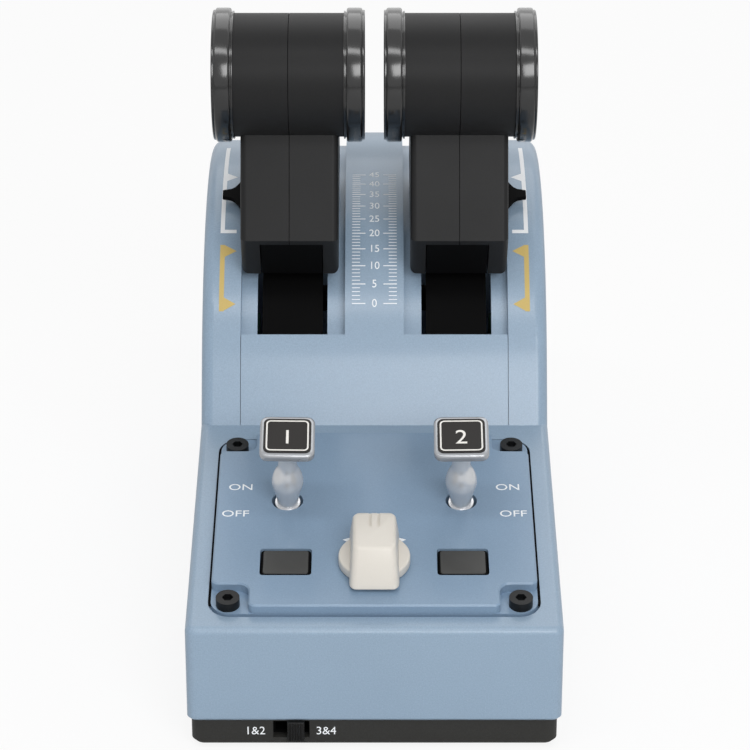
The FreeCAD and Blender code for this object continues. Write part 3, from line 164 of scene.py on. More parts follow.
def finish(name, colour, roughness, grain_size=0.35, grain_depth=0.02, speckle=0.05,
           metal=0.0, coat=0.0, patch=0.03, gloss=0.5, sparkle=0.0):
    """A moulded or plated finish: fine grain in its bump, small changes in its colour.

    Gloss is the strength of its reflections; sparkle adds fine bright flakes."""
    name = name + "_finish"
    made = bpy.data.materials.get(name)
    if made:
        return made
    made = bpy.data.materials.new(name)
    made.use_nodes = True
    tree = made.node_tree
    shader = tree.nodes["Principled BSDF"]
    place = tree.nodes.new("ShaderNodeTexCoord")
    fine = tree.nodes.new("ShaderNodeTexNoise")
    fine.inputs["Scale"].default_value = 1.0 / (grain_size * MM)
    fine.inputs["Detail"].default_value = 2.0
    fine.inputs["Roughness"].default_value = 0.6
    broad = tree.nodes.new("ShaderNodeTexNoise")
    broad.inputs["Scale"].default_value = 45.0
    broad.inputs["Detail"].default_value = 3.0
    base = linear(colour)
    ramp = tree.nodes.new("ShaderNodeValToRGB")
    ramp.color_ramp.elements[0].position = 0.3
    ramp.color_ramp.elements[0].color = [c * (1 - speckle) for c in base] + [1]
    ramp.color_ramp.elements[1].position = 0.7
    ramp.color_ramp.elements[1].color = [min(1.0, c * (1 + speckle)) for c in base] + [1]
    shade = tree.nodes.new("ShaderNodeMix")
    shade.data_type = "RGBA"
    shade.blend_type = "MULTIPLY"
    shade.inputs["Factor"].default_value = 1.0
    tone = tree.nodes.new("ShaderNodeMapRange")
    tone.inputs["To Min"].default_value = 1 - patch
    tone.inputs["To Max"].default_value = 1 + patch
    rough = tree.nodes.new("ShaderNodeMapRange")
    rough.inputs["To Min"].default_value = max(0.02, roughness - 0.06)
    rough.inputs["To Max"].default_value = min(1.0, roughness + 0.06)
    bump = tree.nodes.new("ShaderNodeBump")
    bump.inputs["Strength"].default_value = 0.6
    bump.inputs["Distance"].default_value = grain_depth * MM
    link = tree.links.new
    colour_out = shade.outputs["Result"]
    if sparkle:
        colour_out = add_flakes(tree, place, shade, sparkle)
    link(place.outputs["Object"], fine.inputs["Vector"])
    link(place.outputs["Object"], broad.inputs["Vector"])
    link(fine.outputs["Fac"], ramp.inputs["Fac"])
    link(broad.outputs["Fac"], tone.inputs["Value"])
    link(broad.outputs["Fac"], rough.inputs["Value"])
    link(ramp.outputs["Color"], shade.inputs["A"])
    link(tone.outputs["Result"], shade.inputs["B"])
    link(colour_out, shader.inputs["Base Color"])
    link(rough.outputs["Result"], shader.inputs["Roughness"])
    link(fine.outputs["Fac"], bump.inputs["Height"])
    link(bump.outputs["Normal"], shader.inputs["Normal"])
    shader.inputs["Metallic"].default_value = metal
    shader.inputs["Specular IOR Level"].default_value = gloss
    shader.inputs["Coat Weight"].default_value = coat
    shader.inputs["Coat Roughness"].default_value = 0.16
    made.diffuse_color = base + [1]
    return made


def add_flakes(tree, place, shade, strength):
    """Scatter fine bright flakes over a finish's colour."""
    flakes = tree.nodes.new("ShaderNodeTexVoronoi")
    flakes.inputs["Scale"].default_value = 1.0 / (0.42 * MM)
    keep = tree.nodes.new("ShaderNodeMapRange")
    keep.inputs["From Min"].default_value = 0.1
    keep.inputs["From Max"].default_value = 0.28
    keep.inputs["To Min"].default_value = strength
    keep.inputs["To Max"].default_value = 0.0
    mix = tree.nodes.new("ShaderNodeMix")
    mix.data_type = "RGBA"
    mix.inputs["B"].default_value = (0.8, 0.87, 0.93, 1)
    link = tree.links.new
    link(place.outputs["Object"], flakes.inputs["Vector"])
    link(flakes.outputs["Distance"], keep.inputs["Value"])
    link(keep.outputs["Result"], mix.inputs["Factor"])
    link(shade.outputs["Result"], mix.inputs["A"])
    return mix.outputs["Result"]


def colours():
    return bpy.context.scene.quadrant_colours


def sizes():
    return bpy.context.scene.quadrant_sizes


def housing_finish():
    return finish("housing_blue", colours().housing, 0.42, 0.45, sizes().grain / MM, 0.07,
                  coat=0.35, gloss=0.35, sparkle=0.1)


# Painted shade: the housing's blue written deeper on the plate, for the lower light it gets
def panel_finish():
    return finish("panel_blue", colours().panel, 0.45, 0.45, 0.015, 0.05, coat=0.25,
                  gloss=0.3, sparkle=0.06)


def tray_finish():
    return finish("tray_black", colours().tray, 0.55, 0.4, 0.03, 0.12, gloss=0.25)


def lever_finish():
    return finish("lever_charcoal", colours().lever, 0.45, 0.3, 0.012, 0.1, gloss=0.12)


def ring_finish():
    return finish("ring_gloss_black", colours().ring, 0.16, 0.3, 0.003, 0.05, coat=0.6,
                  gloss=0.35)


def deep_black():
    return finish("slot_black", (0.03, 0.03, 0.032), 0.7, 0.4, 0.02, 0.1, gloss=0.05)


def cream_finish():
    return finish("selector_cream", colours().cream, 0.38, 0.3, 0.006, 0.015)


def silver_finish():
    return finish("toggle_silver", colours().silver, 0.2, 0.25, 0.004, 0.03, metal=0.4, coat=0.4)


def cap_finish():
    return finish("cap_silver", (0.62, 0.63, 0.645), 0.26, 0.25, 0.004, 0.03, metal=0.45, coat=0.3)


def slider_finish():
    return finish("slider_black", (0.09, 0.09, 0.09), 0.4, 0.3, 0.01, 0.1, gloss=0.2)


def label_white():
    return finish("label_white", (0.93, 0.92, 0.9), 0.5, 0.3, 0.004, 0.02)


def legend_finish():
    return finish("legend_white", colours().legend, 0.6, 0.3, 0.004, 0.02)


def yellow_finish():
    return finish("reverse_yellow", colours().yellow, 0.6, 0.3, 0.004, 0.03)


def paint(material, *names):
    """Give CAD nodes a finish."""
    for name in names:
        for holder in NODES[name].material_slots:
            holder.material = material


# ---------------------------------------------------------------------------
# Modelling helpers
# ---------------------------------------------------------------------------

def clear_selection():
    if bpy.context.object and bpy.context.object.mode != "OBJECT":
        bpy.ops.object.mode_set(mode="OBJECT")
    bpy.ops.object.select_all(action="DESELECT")


def adopt(piece, name, material, body):
    """Name a finished piece, settle its place in its mesh and let it ride."""
    piece.name = name
    piece.data.name = name
    clear_selection()
    piece.select_set(True)
    bpy.context.view_layer.objects.active = piece
    bpy.ops.object.transform_apply(location=True, rotation=True, scale=True)
    piece.data.materials.clear()
    piece.data.materials.append(material)
    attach(piece, body)
    return piece


def words(text, size, thick):
    """Flat lettering about the origin, in the XY plane, as a mesh."""
    clear_selection()
    bpy.ops.object.text_add(location=(0, 0, 0))
    piece = bpy.context.object
    piece.data.body = text
    piece.data.size = size
    piece.data.align_x = "CENTER"
    piece.data.align_y = "CENTER"
    piece.data.extrude = thick / 2
    piece.data.resolution_u = 4
    bpy.ops.object.convert(target="MESH")
    return bpy.context.object


def flat_shape(corners, thick):
    """A thin printed patch on the XY plane from its corners."""
    clear_selection()
    bpy.ops.mesh.primitive_circle_add(vertices=len(corners), fill_type="NGON", radius=1)
    piece = bpy.context.object
    for vertex, corner in zip(piece.data.vertices, corners):
        vertex.co = (corner[0], corner[1], -thick / 2)
    bpy.ops.object.mode_set(mode="EDIT")
    bpy.ops.mesh.select_all(action="SELECT")
    bpy.ops.mesh.extrude_region_move(TRANSFORM_OT_translate={"value": (0, 0, thick)})
    bpy.ops.mesh.select_all(action="SELECT")
    bpy.ops.mesh.normals_make_consistent(inside=False)
    bpy.ops.object.mode_set(mode="OBJECT")
    return piece


def bar(x_low, x_high, y_low, y_high, thick, steps=1):
    """A thin printed bar on the XY plane, divided along Y so that it can follow an arc."""
    clear_selection()
    bpy.ops.mesh.primitive_cube_add(size=1)
    piece = bpy.context.object
    for vertex in piece.data.vertices:
        vertex.co = (
            x_low if vertex.co.x < 0 else x_high,
            y_low if vertex.co.y < 0 else y_high,
            vertex.co.z * thick)
    if steps > 1:
        bpy.ops.object.mode_set(mode="EDIT")
        for k in range(1, steps):
            y = y_low + (y_high - y_low) * k / steps
            bpy.ops.mesh.select_all(action="SELECT")
            bpy.ops.mesh.bisect(plane_co=(0, y, 0), plane_no=(0, 1, 0))
        bpy.ops.object.mode_set(mode="OBJECT")
    return piece


def join(pieces):
    """Several pieces as one."""
    clear_selection()
    for piece in pieces:
        piece.select_set(True)
    bpy.context.view_layer.objects.active = pieces[0]
    bpy.ops.object.join()
    return bpy.context.object


def copy_of(model, place):
    """A copy of a finished piece with its own mesh, set in its place."""
    clear_selection()
    model.select_set(True)
    bpy.context.view_layer.objects.active = model
    bpy.ops.object.duplicate()
    piece = bpy.context.object
    piece.data.transform(place)
    return piece


def discard(*models):
    """Clear away the pieces that copies were taken from."""
    clear_selection()
    for model in models:
        model.select_set(True)
    bpy.ops.object.delete()


def smooth(piece, angle=32.0):
    """Shade a piece smooth, but for its sharp edges."""
    clear_selection()
    piece.select_set(True)
    bpy.context.view_layer.objects.active = piece
    bpy.ops.object.shade_smooth_by_angle(angle=math.radians(angle))
    return piece


def pick_edges(piece, test):
    """Open a piece for editing with the edges whose two ends pass a test selected."""
    bpy.ops.object.mode_set(mode="EDIT")
    bpy.ops.mesh.select_mode(type="EDGE")
    bpy.ops.mesh.select_all(action="DESELECT")
    bpy.ops.object.mode_set(mode="OBJECT")
    points = piece.data.vertices
    for edge in piece.data.edges:
        edge.select = test(points[edge.vertices[0]].co, points[edge.vertices[1]].co)
    bpy.ops.object.mode_set(mode="EDIT")


def soften(piece, width, segments=3, limit=40.0):
    """Round the sharp edges of a piece."""
    clear_selection()
    piece.select_set(True)
    bpy.context.view_layer.objects.active = piece
    bpy.ops.object.modifier_add(type="BEVEL")
    bevel = piece.modifiers[-1]
    bevel.width = width * MM
    bevel.segments = segments
    bevel.limit_method = "ANGLE"
    bevel.angle_limit = math.radians(limit)
    bevel.harden_normals = False
    bpy.ops.object.modifier_apply(modifier=bevel.name)
    return piece


def carve(piece, *tools):
    """Cut a piece with others, which are used up."""
    for tool in tools:
        clear_selection()
        piece.select_set(True)
        bpy.context.view_layer.objects.active = piece
        bpy.ops.object.modifier_add(type="BOOLEAN")
        cut = piece.modifiers[-1]
        cut.operation = "DIFFERENCE"
        cut.solver = "EXACT"
        cut.object = tool
        bpy.ops.object.modifier_apply(modifier=cut.name)
        discard(tool)
    return piece


def turned(section, steps=72):
    """A piece turned about the X axis: pairs of millimetres along it and out from it."""
    clear_selection()
    bpy.ops.mesh.primitive_circle_add(vertices=len(section), fill_type="NOTHING")
    piece = bpy.context.object
    for vertex, (along, out) in zip(piece.data.vertices, section):
        vertex.co = (along * MM, 0.0, out * MM)
    bpy.ops.object.mode_set(mode="EDIT")
    bpy.ops.mesh.select_all(action="SELECT")
    bpy.ops.mesh.spin(steps=steps, angle=2 * math.pi, center=(0, 0, 0), axis=(1, 0, 0))
    bpy.ops.mesh.select_all(action="SELECT")
    bpy.ops.mesh.remove_doubles(threshold=0.001 * MM)
    bpy.ops.mesh.delete_loose()
    bpy.ops.mesh.select_all(action="SELECT")
    bpy.ops.mesh.normals_make_consistent(inside=False)
    bpy.ops.object.mode_set(mode="OBJECT")
    return smooth(piece, 28.0)


def arc(centre_along, centre_out, radius, start, end, steps=4):
    """Points of a rounded edge in a turned section, by angle from the axis outwards."""
    angles = [math.radians(start + (end - start) * k / steps) for k in range(steps + 1)]
    return [(centre_along + radius * math.cos(a), centre_out + radius * math.sin(a))
            for a in angles]


def block(low, high, corner=0.0, edge=0.0, top=None, segments=5):
    """A block between two corners in millimetres, rounded upright and then all round.

    A smaller top, as half its size along X and Y, gives it sloping sides."""
    clear_selection()
    bpy.ops.mesh.primitive_cube_add(size=1)
    piece = bpy.context.object
    middle = [(low[i] + high[i]) / 2 for i in range(3)]
    for vertex in piece.data.vertices:
        upper = vertex.co.z > 0
        half = top if top and upper else ((high[0] - low[0]) / 2, (high[1] - low[1]) / 2)
        vertex.co = (
            (middle[0] + math.copysign(half[0], vertex.co.x)) * MM,
            (middle[1] + math.copysign(half[1], vertex.co.y)) * MM,
            (high[2] if upper else low[2]) * MM)
    if corner:
        pick_edges(piece, lambda a, b: abs(a.z - b.z) > 0.9 * (high[2] - low[2]) * MM)
        bpy.ops.mesh.bevel(offset=corner * MM, segments=segments, affect="EDGES")
        bpy.ops.object.mode_set(mode="OBJECT")
    if edge:
        soften(piece, edge)
    return smooth(piece)


def flat_frame(wide, high, corner, line, thick):
    """A thin rounded outline on the XY plane."""
    clear_selection()
    bpy.ops.mesh.primitive_plane_add(size=1)
    piece = bpy.context.object
    for vertex in piece.data.vertices:
        vertex.co = (vertex.co.x * wide * MM, vertex.co.y * high * MM, -thick / 2)
    bpy.ops.object.mode_set(mode="EDIT")
    bpy.ops.mesh.select_all(action="SELECT")
    bpy.ops.mesh.bevel(offset=corner * MM, segments=6, affect="VERTICES")
    bpy.ops.mesh.select_mode(type="FACE")
    bpy.ops.mesh.select_all(action="SELECT")
    bpy.ops.mesh.inset(thickness=line * MM)
    bpy.ops.mesh.delete(type="FACE")
    bpy.ops.mesh.select_all(action="SELECT")
    bpy.ops.mesh.extrude_region_move(TRANSFORM_OT_translate={"value": (0, 0, thick)})
    bpy.ops.mesh.select_all(action="SELECT")
    bpy.ops.mesh.normals_make_consistent(inside=False)
    bpy.ops.object.mode_set(mode="OBJECT")
    return piece


def on_strip(angle, height):
    """A point of the scale strip's section, by its angle from vertical."""
    reach = STRIP_RADIUS + height
    return SHAFT.y - reach * math.sin(angle), SHAFT.z + reach * math.cos(angle)


def scale_angle(degree):
    """Where a degree of the lever scale lies on the strip, from vertical."""
    return math.radians(48.1 - 0.882 * degree + 0.00245 * degree * degree)


def on_cheek(angle, height):
    """A point of a cheek's section, on the ray at an angle from the shaft."""
    ray = (-math.sin(angle), math.cos(angle))
    gap = (CHEEK_CENTRE[0] - SHAFT.y, CHEEK_CENTRE[1] - SHAFT.z)
    along = ray[0] * gap[0] + ray[1] * gap[1]
    reach = CHEEK_RADIUS + height
    off = gap[0] ** 2 + gap[1] ** 2 - along ** 2
    out = along + math.sqrt(reach ** 2 - off)
    return SHAFT.y + out * ray[0], SHAFT.z + out * ray[1]


def wrap(piece, surface, start, radius):
    """Bend a flat piece over an arc: Y runs up the arc from an angle, Z is its height."""
    for vertex in piece.data.vertices:
        angle = start - vertex.co.y / radius
        y, z = surface(angle, vertex.co.z)
        vertex.co = (vertex.co.x, y, z)
    return piece


def panel_matrix(x, u, height=0.0):
    """Place on the engine panel's plate: millimetres across and uphill."""
    spot = PLATE_SPOT + PANEL_UP * (u - SELECTOR_U) * MM + PANEL_NORMAL * height
    turn = Matrix((Vector((1, 0, 0)), PANEL_UP, PANEL_NORMAL)).transposed().to_4x4()
    return Matrix.Translation(spot + Vector((x * MM, 0, 0))) @ turn


def toggle_matrix(name, side):
    """Place on a toggle's pivot, with Z along its stem."""
    pivot = Vector(JOINTS["toggle_%s_flip" % name]["pos_m"])
    turn = Matrix.Rotation(PANEL_SLOPE + LEAN, 4, "X") @ Matrix.Rotation(-side * CANT, 4, "Y")
    return Matrix.Translation(pivot) @ turn


def upright(height=0.0):
    """Stand a piece turned about X on its end, raised by millimetres."""
    return Matrix.Translation(UP * height * MM) @ Matrix.Rotation(math.radians(-90), 4, "Y")


# ---------------------------------------------------------------------------
# Pieces
# ---------------------------------------------------------------------------

class QUADRANT_OT_casing(bpy.types.Operator):
    """Finish the housing, the cover, the tray and the feet"""

    bl_idname = "quadrant.casing"
    bl_label = "Casing"

    def execute(self, context):
        paint(housing_finish(), "upper_housing", "centre_cover")
        paint(tray_finish(), "base_tray")
        paint(finish("foot_rubber", (0.09, 0.09, 0.09), 0.85, 0.5, 0.03, 0.1), "rubber_feet")
        paint(deep_black(), "slide_switch")
        return {"FINISHED"}


class QUADRANT_OT_inside(bpy.types.Operator):
    """Finish the bearings, brackets, boards and screws inside"""

    bl_idname = "quadrant.inside"
    bl_label = "Inside"

    def execute(self, context):
        steel = finish("machined_steel", (0.62, 0.62, 0.61), 0.3, 0.2, 0.004, 0.06, metal=1.0)
        black = finish("switch_black", (0.1, 0.1, 0.105), 0.5, 0.4, 0.01, 0.1)
        paint(steel, "main_shaft", "shaft_clips", "base_screws", "bracket_screws",
              "ballast_plate", "usb_socket")
        paint(black, "toggle_switch_left", "toggle_switch_right", "selector_switch",
              "button_switches")
        paint(finish("bracket_grey", (0.33, 0.34, 0.35), 0.55, 0.5, 0.02, 0.1),
              "bracket_left", "bracket_right", "bracket_centre",
              "detent_plate_left", "detent_plate_right")
        paint(finish("board_green", (0.1, 0.3, 0.19), 0.35, 0.8, 0.01, 0.15, coat=0.3),
              "main_board", "panel_board", "sensor_boards")
        brass = finish("turned_brass", (0.71, 0.58, 0.32), 0.3, 0.2, 0.004, 0.06, metal=1.0)
        paint(brass, "spacer_sleeves", "bush_left", "bush_right")
        paint(finish("washer_felt", (0.4, 0.38, 0.35), 0.95, 0.6, 0.1, 0.2),
              "friction_washers")
        for name, _ in SIDES:
            paint(steel, "plunger_" + name, "shell_screws_" + name)
        return {"FINISHED"}


class QUADRANT_OT_scale(bpy.types.Operator):
    """Print the scale on the strip between the levers"""

    bl_idname = "quadrant.scale"
    bl_label = "Lever scale"

    def execute(self, context):
        lift = sizes().mark_height
        marks = []
        for degree in range(46):
            long, thick = (4.5, 0.34) if degree % 5 == 0 else (2.7, 0.26)
            for side in (-1, 1):
                ends = sorted((side * 7.5 * MM, side * (7.5 - long) * MM))
                tick = bar(ends[0], ends[1], -thick / 2 * MM, thick / 2 * MM, lift * 2)
                marks.append(wrap(tick, on_strip, scale_angle(degree), STRIP_RADIUS))
        adopt(join(marks), "scale_ticks", legend_finish(), "housing")
        numerals = []
        for degree in range(0, 46, 5):
            numeral = words(str(degree), sizes().numeral_size * 1.36, lift * 2)
            numeral.data.transform(Matrix.Diagonal((0.9, 1.0, 1.0, 1.0)))
            numerals.append(wrap(numeral, on_strip, scale_angle(degree), STRIP_RADIUS))
        adopt(join(numerals), "scale_numerals", legend_finish(), "housing")
        return {"FINISHED"}


class QUADRANT_OT_range_marks(bpy.types.Operator):
    """Print the yellow and white range marks on the cheeks"""

    bl_idname = "quadrant.range_marks"
    bl_label = "Range marks"

    def execute(self, context):
        lift = sizes().mark_height
        for name, side in SIDES:
            yellow = self.upright(side, 51.0, 0.8, 49.8, 34.3, lift)
            yellow += [self.arrow(side, 50.3, 46.3, angle, 2.3, lift) for angle in (35.84, 48.2)]
            adopt(join(yellow), "reverse_mark_" + name, yellow_finish(), "housing")
            white = self.upright(side, 51.2, 0.7, 31.2, -3.0, lift)
            white += self.upright(side, 49.2, 2.7, 31.2, 30.3, lift)
            white += [self.arrow(side, 50.6, 46.9, 13.2, 2.4, lift)]
            adopt(join(white), "forward_mark_" + name, legend_finish(), "housing")
        return {"FINISHED"}

    def upright(self, side, middle, half, low, high, lift):
        """A bar up a cheek between two angles from vertical."""
        ends = sorted((side * (middle - half) * MM, side * (middle + half) * MM))
        length = math.radians(low - high) * CHEEK_RADIUS
        piece = bar(ends[0], ends[1], 0, length, lift * 2, max(1, round((low - high) / 2)))
        return [wrap(piece, on_cheek, math.radians(low), CHEEK_RADIUS)]

    def arrow(self, side, root, tip, angle, half, lift):
        """An arrow head that points to the middle."""
        corners = [(side * root * MM, -half * MM), (side * tip * MM, 0),
                   (side * root * MM, half * MM)]
        piece = flat_shape(corners, lift * 2)
        return wrap(piece, on_cheek, math.radians(angle), CHEEK_RADIUS)


class QUADRANT_OT_panel(bpy.types.Operator):
    """Finish the engine panel and print its legends"""

    bl_idname = "quadrant.panel"
    bl_label = "Engine panel"

    def execute(self, context):
        paint(panel_finish(), "panel_plate")
        paint(finish("screw_black", (0.08, 0.085, 0.09), 0.4, 0.25, 0.01, 0.1, gloss=0.2),
              "panel_screws")
        lift = sizes().mark_height
        for name, side in SIDES:
            legend = []
            for text, x, u in (("ON", 42.65, 66.8), ("OFF", 43.9, 52.9)):
                piece = words(text, 4.5 * MM, lift * 2)
                piece.data.transform(Matrix.Diagonal((1.12, 1.0, 1.0, 1.0)))
                piece.data.transform(panel_matrix(side * x, u))
                legend.append(piece)
            adopt(join(legend), "toggle_legend_" + name, legend_finish(), "housing")
        pointers = []
        for side in (-1, 1):
            corners = [(side * 7.3 * MM, -1.4 * MM), (side * 9.9 * MM, 0.4 * MM),
                       (side * 7.3 * MM, 1.6 * MM)]
            piece = flat_shape(corners, lift * 2)
            piece.data.transform(panel_matrix(0, 39.2))
            pointers.append(piece)
        adopt(join(pointers), "selector_marks", legend_finish(), "housing")
        # A dark sheet in the gap round the plate stands in for the gap's shadow: painted shade
        adopt(self.gasket(), "panel_gap_shade", deep_black(), "housing")
        return {"FINISHED"}

    def gasket(self):
        """Painted shade: a dark sheet laid in the gap round the plate, open at the front."""
        shade_sheet = flat_frame(GAP_WIDTH, GAP_LENGTH, GAP_CORNER, 1.0, 0.3 * MM)
        front = block((-60.0, -60.0, -2.0), (60.0, -40.0, 2.0))
        carve(shade_sheet, front)
        shade_sheet.data.transform(panel_matrix(0, GAP_MIDDLE, -4.2 * MM))
        return shade_sheet


class QUADRANT_OT_toggles(bpy.types.Operator):
    """Turn the toggle stems, mould their caps and print their labels"""

    bl_idname = "quadrant.toggles"
    bl_label = "Toggles"

    def execute(self, context):
        stem, cap = self.stem(), self.cap()
        outline = flat_frame(13.3, 12.7, 1.5, 0.48, 0.06 * MM)
        outline.data.transform(Matrix.Translation(UP * LABEL_TOP * MM))
        for number, (name, side) in enumerate(SIDES, start=1):
            place = toggle_matrix(name, side)
            piece = adopt(copy_of(stem, place), "toggle_stem_" + name, silver_finish(),
                          "toggle_" + name)
            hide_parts("toggle_bat_" + name)
            piece = adopt(copy_of(cap, place), "toggle_head_" + name, cap_finish(),
                          "toggle_" + name)
            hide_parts("toggle_cap_" + name)
            paint(finish("label_black", (0.13, 0.12, 0.115), 0.4, 0.3, 0.004, 0.05, gloss=0.2),
                  "toggle_label_" + name)
            numeral = words(str(number), 8.2 * MM, 0.06 * MM)
            numeral.data.transform(Matrix.Translation((0, -0.9 * MM, LABEL_TOP * MM)))
            numeral.data.transform(place)
            frame_line = copy_of(outline, place)
            adopt(join([numeral, frame_line]), "toggle_number_" + name, label_white(),
                  "toggle_" + name)
        discard(stem, cap, outline)
        return {"FINISHED"}

    def stem(self):
        """The bulbous stem, with its foot ring where it leaves the panel."""
        section = [(-4.0, 0.0), (-3.46, 2.0), (-2.0, 3.46), (0.0, 3.95), (2.4, 3.3), (4.0, 3.4)]
        section += [(4.2, 3.95)] + arc(4.9, 3.75, 0.3, 90, 0, 3) + [(5.15, 3.3), (5.6, 3.2)]
        section += [(8.0, 3.62), (10.4, 4.12), (12.2, 4.55), (13.4, 4.85), (14.2, 5.0)]
        section += [(14.9, 5.05), (15.7, 5.0), (16.7, 4.84), (17.9, 4.55), (19.1, 4.15)]
        section += [(20.2, 3.68), (21.1, 3.3), (22.0, 3.06), (23.2, 2.96), (34.2, 2.96)]
        section += [(34.2, 0.0)]
        piece = turned(section, 48)
        piece.data.transform(upright())
        return piece

    def cap(self):
        """The square head with its rounded rim."""
        return block((-8.55, -8.55, 32.8), (8.55, 8.55, 35.6), 2.6, 0.75)


class QUADRANT_OT_selector(bpy.types.Operator):
    """Mould the rotary selector: a disc with a tapered grip across it"""

    bl_idname = "quadrant.selector"
    bl_label = "Selector"

    def execute(self, context):
        disc = turned([(-11.0, 0.0), (-11.0, 2.95), (0.3, 2.95), (0.3, 10.7)]
                      + arc(0.7, 10.7, 0.4, 180, 90, 3)
                      + arc(2.8, 10.6, 0.5, 90, 0, 4) + [(3.3, 0.0)], 72)
        disc.data.transform(upright())
        grip = block((-7.8, -15.2, 1.0), (7.8, 15.2, 13.1), 2.2, 1.1, top=(6.6, 8.8))
        slots = [block((x - 0.45, 1.6, 12.1), (x + 0.45, 12.0, 14.0)) for x in (-1.3, 1.3)]
        smooth(carve(grip, *slots), 30.0)
        piece = join([grip, disc])
        piece.data.transform(panel_matrix(0, SELECTOR_U))
        adopt(piece, "selector_grip", cream_finish(), "selector")
        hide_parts("selector_knob")
        return {"FINISHED"}


class QUADRANT_OT_push_buttons(bpy.types.Operator):
    """Mould the raised faces of the push buttons"""

    bl_idname = "quadrant.push_buttons"
    bl_label = "Push buttons"

    def execute(self, context):
        face = block((-7.0, -5.65, -0.6), (7.0, 5.65, -0.02), 0.9, 0.25)
        dark = finish("button_dark", (0.25, 0.25, 0.245), 0.45, 0.25, 0.006, 0.05, gloss=0.25)
        for name, _ in SIDES:
            paint(deep_black(), "push_button_" + name)
            x = JOINTS["button_%s_press" % name]["pos_m"][0] / MM
            adopt(copy_of(face, panel_matrix(x, BUTTON_U)), "button_face_" + name, dark,
                  "button_" + name)
        discard(face)
        return {"FINISHED"}


class QUADRANT_OT_levers(bpy.types.Operator):
    """Finish the levers and turn the rims of their knobs"""

    bl_idname = "quadrant.levers"
    bl_label = "Levers"

    def execute(self, context):
        open_rim, closed_rim = turned(self.rim(6.35)), turned(self.rim(0.0))
        for name, side in SIDES:
            paint(lever_finish(), "shell_outer_" + name, "shell_inner_" + name)
            paint(deep_black(), "lever_arm_" + name)
            self.pointer(name, side)
            paint(finish("disconnect_dark", (0.13, 0.13, 0.135), 0.35, 0.25, 0.006, 0.05),
                  "disconnect_button_" + name)
            for part, way, model in (("outer", side, open_rim), ("inner", -side, closed_rim)):
                low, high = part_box("ring_%s_%s" % (part, name))
                foot = Vector((low.x if way > 0 else high.x,
                               (low.y + high.y) / 2, (low.z + high.z) / 2))
                turn = Matrix.Rotation(0 if way > 0 else math.pi, 4, "Z")
                piece = copy_of(model, Matrix.Translation(foot) @ turn)
                adopt(piece, "knob_rim_%s_%s" % (part, name), ring_finish(),
                      "lever_" + name)
                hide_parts("ring_%s_%s" % (part, name))
        discard(open_rim, closed_rim)
        return {"FINISHED"}

    def pointer(self, name, side):
        """A pointer that flares into the foot of the lever's skirt."""
        half = [(16.12, 8.0), (17.2, 6.9), (18.3, 5.0), (19.3, 3.4), (20.6, 2.4), (23.5, 1.7)]
        corners = [(x, -3.6 - y) for x, y in half] + [(x, -3.6 + y) for x, y in half[::-1]]
        piece = flat_shape([(side * x * MM, y * MM) for x, y in corners], 1.5 * MM)
        soften(piece, 0.2, 2)
        foot = (STRIP_RADIUS + LEVER_GAP * MM) + 1.05 * MM
        place = (Matrix.Translation((side * LEVER_X * MM, SHAFT.y, SHAFT.z))
                 @ Matrix.Rotation(LEVER_LEAN, 4, "X") @ Matrix.Translation(UP * foot))
        piece.data.transform(place)
        adopt(piece, "lever_pointer_" + name, deep_black(), "lever_" + name)
        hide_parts("pointer_" + name)

    def rim(self, bore):
        """Section of a knob rim: a collar at the barrel, a flat band and a lipped end."""
        section = [(0.02, bore), (0.02, 20.95)] + arc(0.35, 20.8, 0.2, 90, 0, 3)
        section += [(0.55, 20.5), (0.85, 20.5), (0.9, 21.2)]
        section += arc(1.7, 21.2, 0.8, 180, 90, 5) + arc(5.3, 21.2, 0.8, 90, 20, 4)
        section += [(6.15, 21.25)] + arc(6.5, 20.95, 0.38, 90, 0, 4) + [(6.88, 20.0)]
        section += [(6.6, 19.6), (6.1, 19.3), (6.1, bore + 1.2)]
        if bore:
            section += [(6.5, bore + 0.8), (6.5, bore)]
        else:
            section = section[:-1] + [(6.1, 0.0)]
        return section


class QUADRANT_OT_source_switch(bpy.types.Operator):
    """Mould the ribbed source slider and print the numbers beside it"""

    bl_idname = "quadrant.source_switch"
    bl_label = "Source switch"

    def execute(self, context):
        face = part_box("base_tray")[0].y
        self.slider(face)
        turn = Matrix.Rotation(math.radians(90), 4, "X")
        pieces = []
        for text, x in (("1&2", -36.6), ("3&4", -14.8)):
            piece = words(text, 3.9 * MM, 0.08 * MM)
            piece.data.transform(Matrix.Translation((x * MM, face, 6.4 * MM)) @ turn)
            pieces.append(piece)
        adopt(join(pieces), "source_numbers", legend_finish(), "housing")
        return {"FINISHED"}

    def slider(self, face):
        """A stem through the tray's slot and a ribbed head in front of it."""
        low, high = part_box("slide_knob")
        front, back = low.y / MM, high.y / MM
        left, right = low.x / MM, high.x / MM
        ledge = face / MM - 0.1
        head = block((left, front + 0.45, 3.5), (right, ledge, 10.2), 0.3, 0.3)
        stem = block((left + 0.2, ledge - 0.2, 5.35), (right - 0.2, back, 8.85), 0.2)
        pitch = (right - left - 0.5) / 6
        rib = block((left + 0.3, front, 3.7), (left + 0.3 + pitch * 0.55, front + 0.7, 10.0),
                    0.0, 0.15)
        ribs = [copy_of(rib, Matrix.Translation((k * pitch * MM, 0, 0))) for k in range(6)]
        discard(rib)
        piece = join([head, stem, *ribs])
        adopt(piece, "source_slider", slider_finish(), "slider")
        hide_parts("slide_knob")


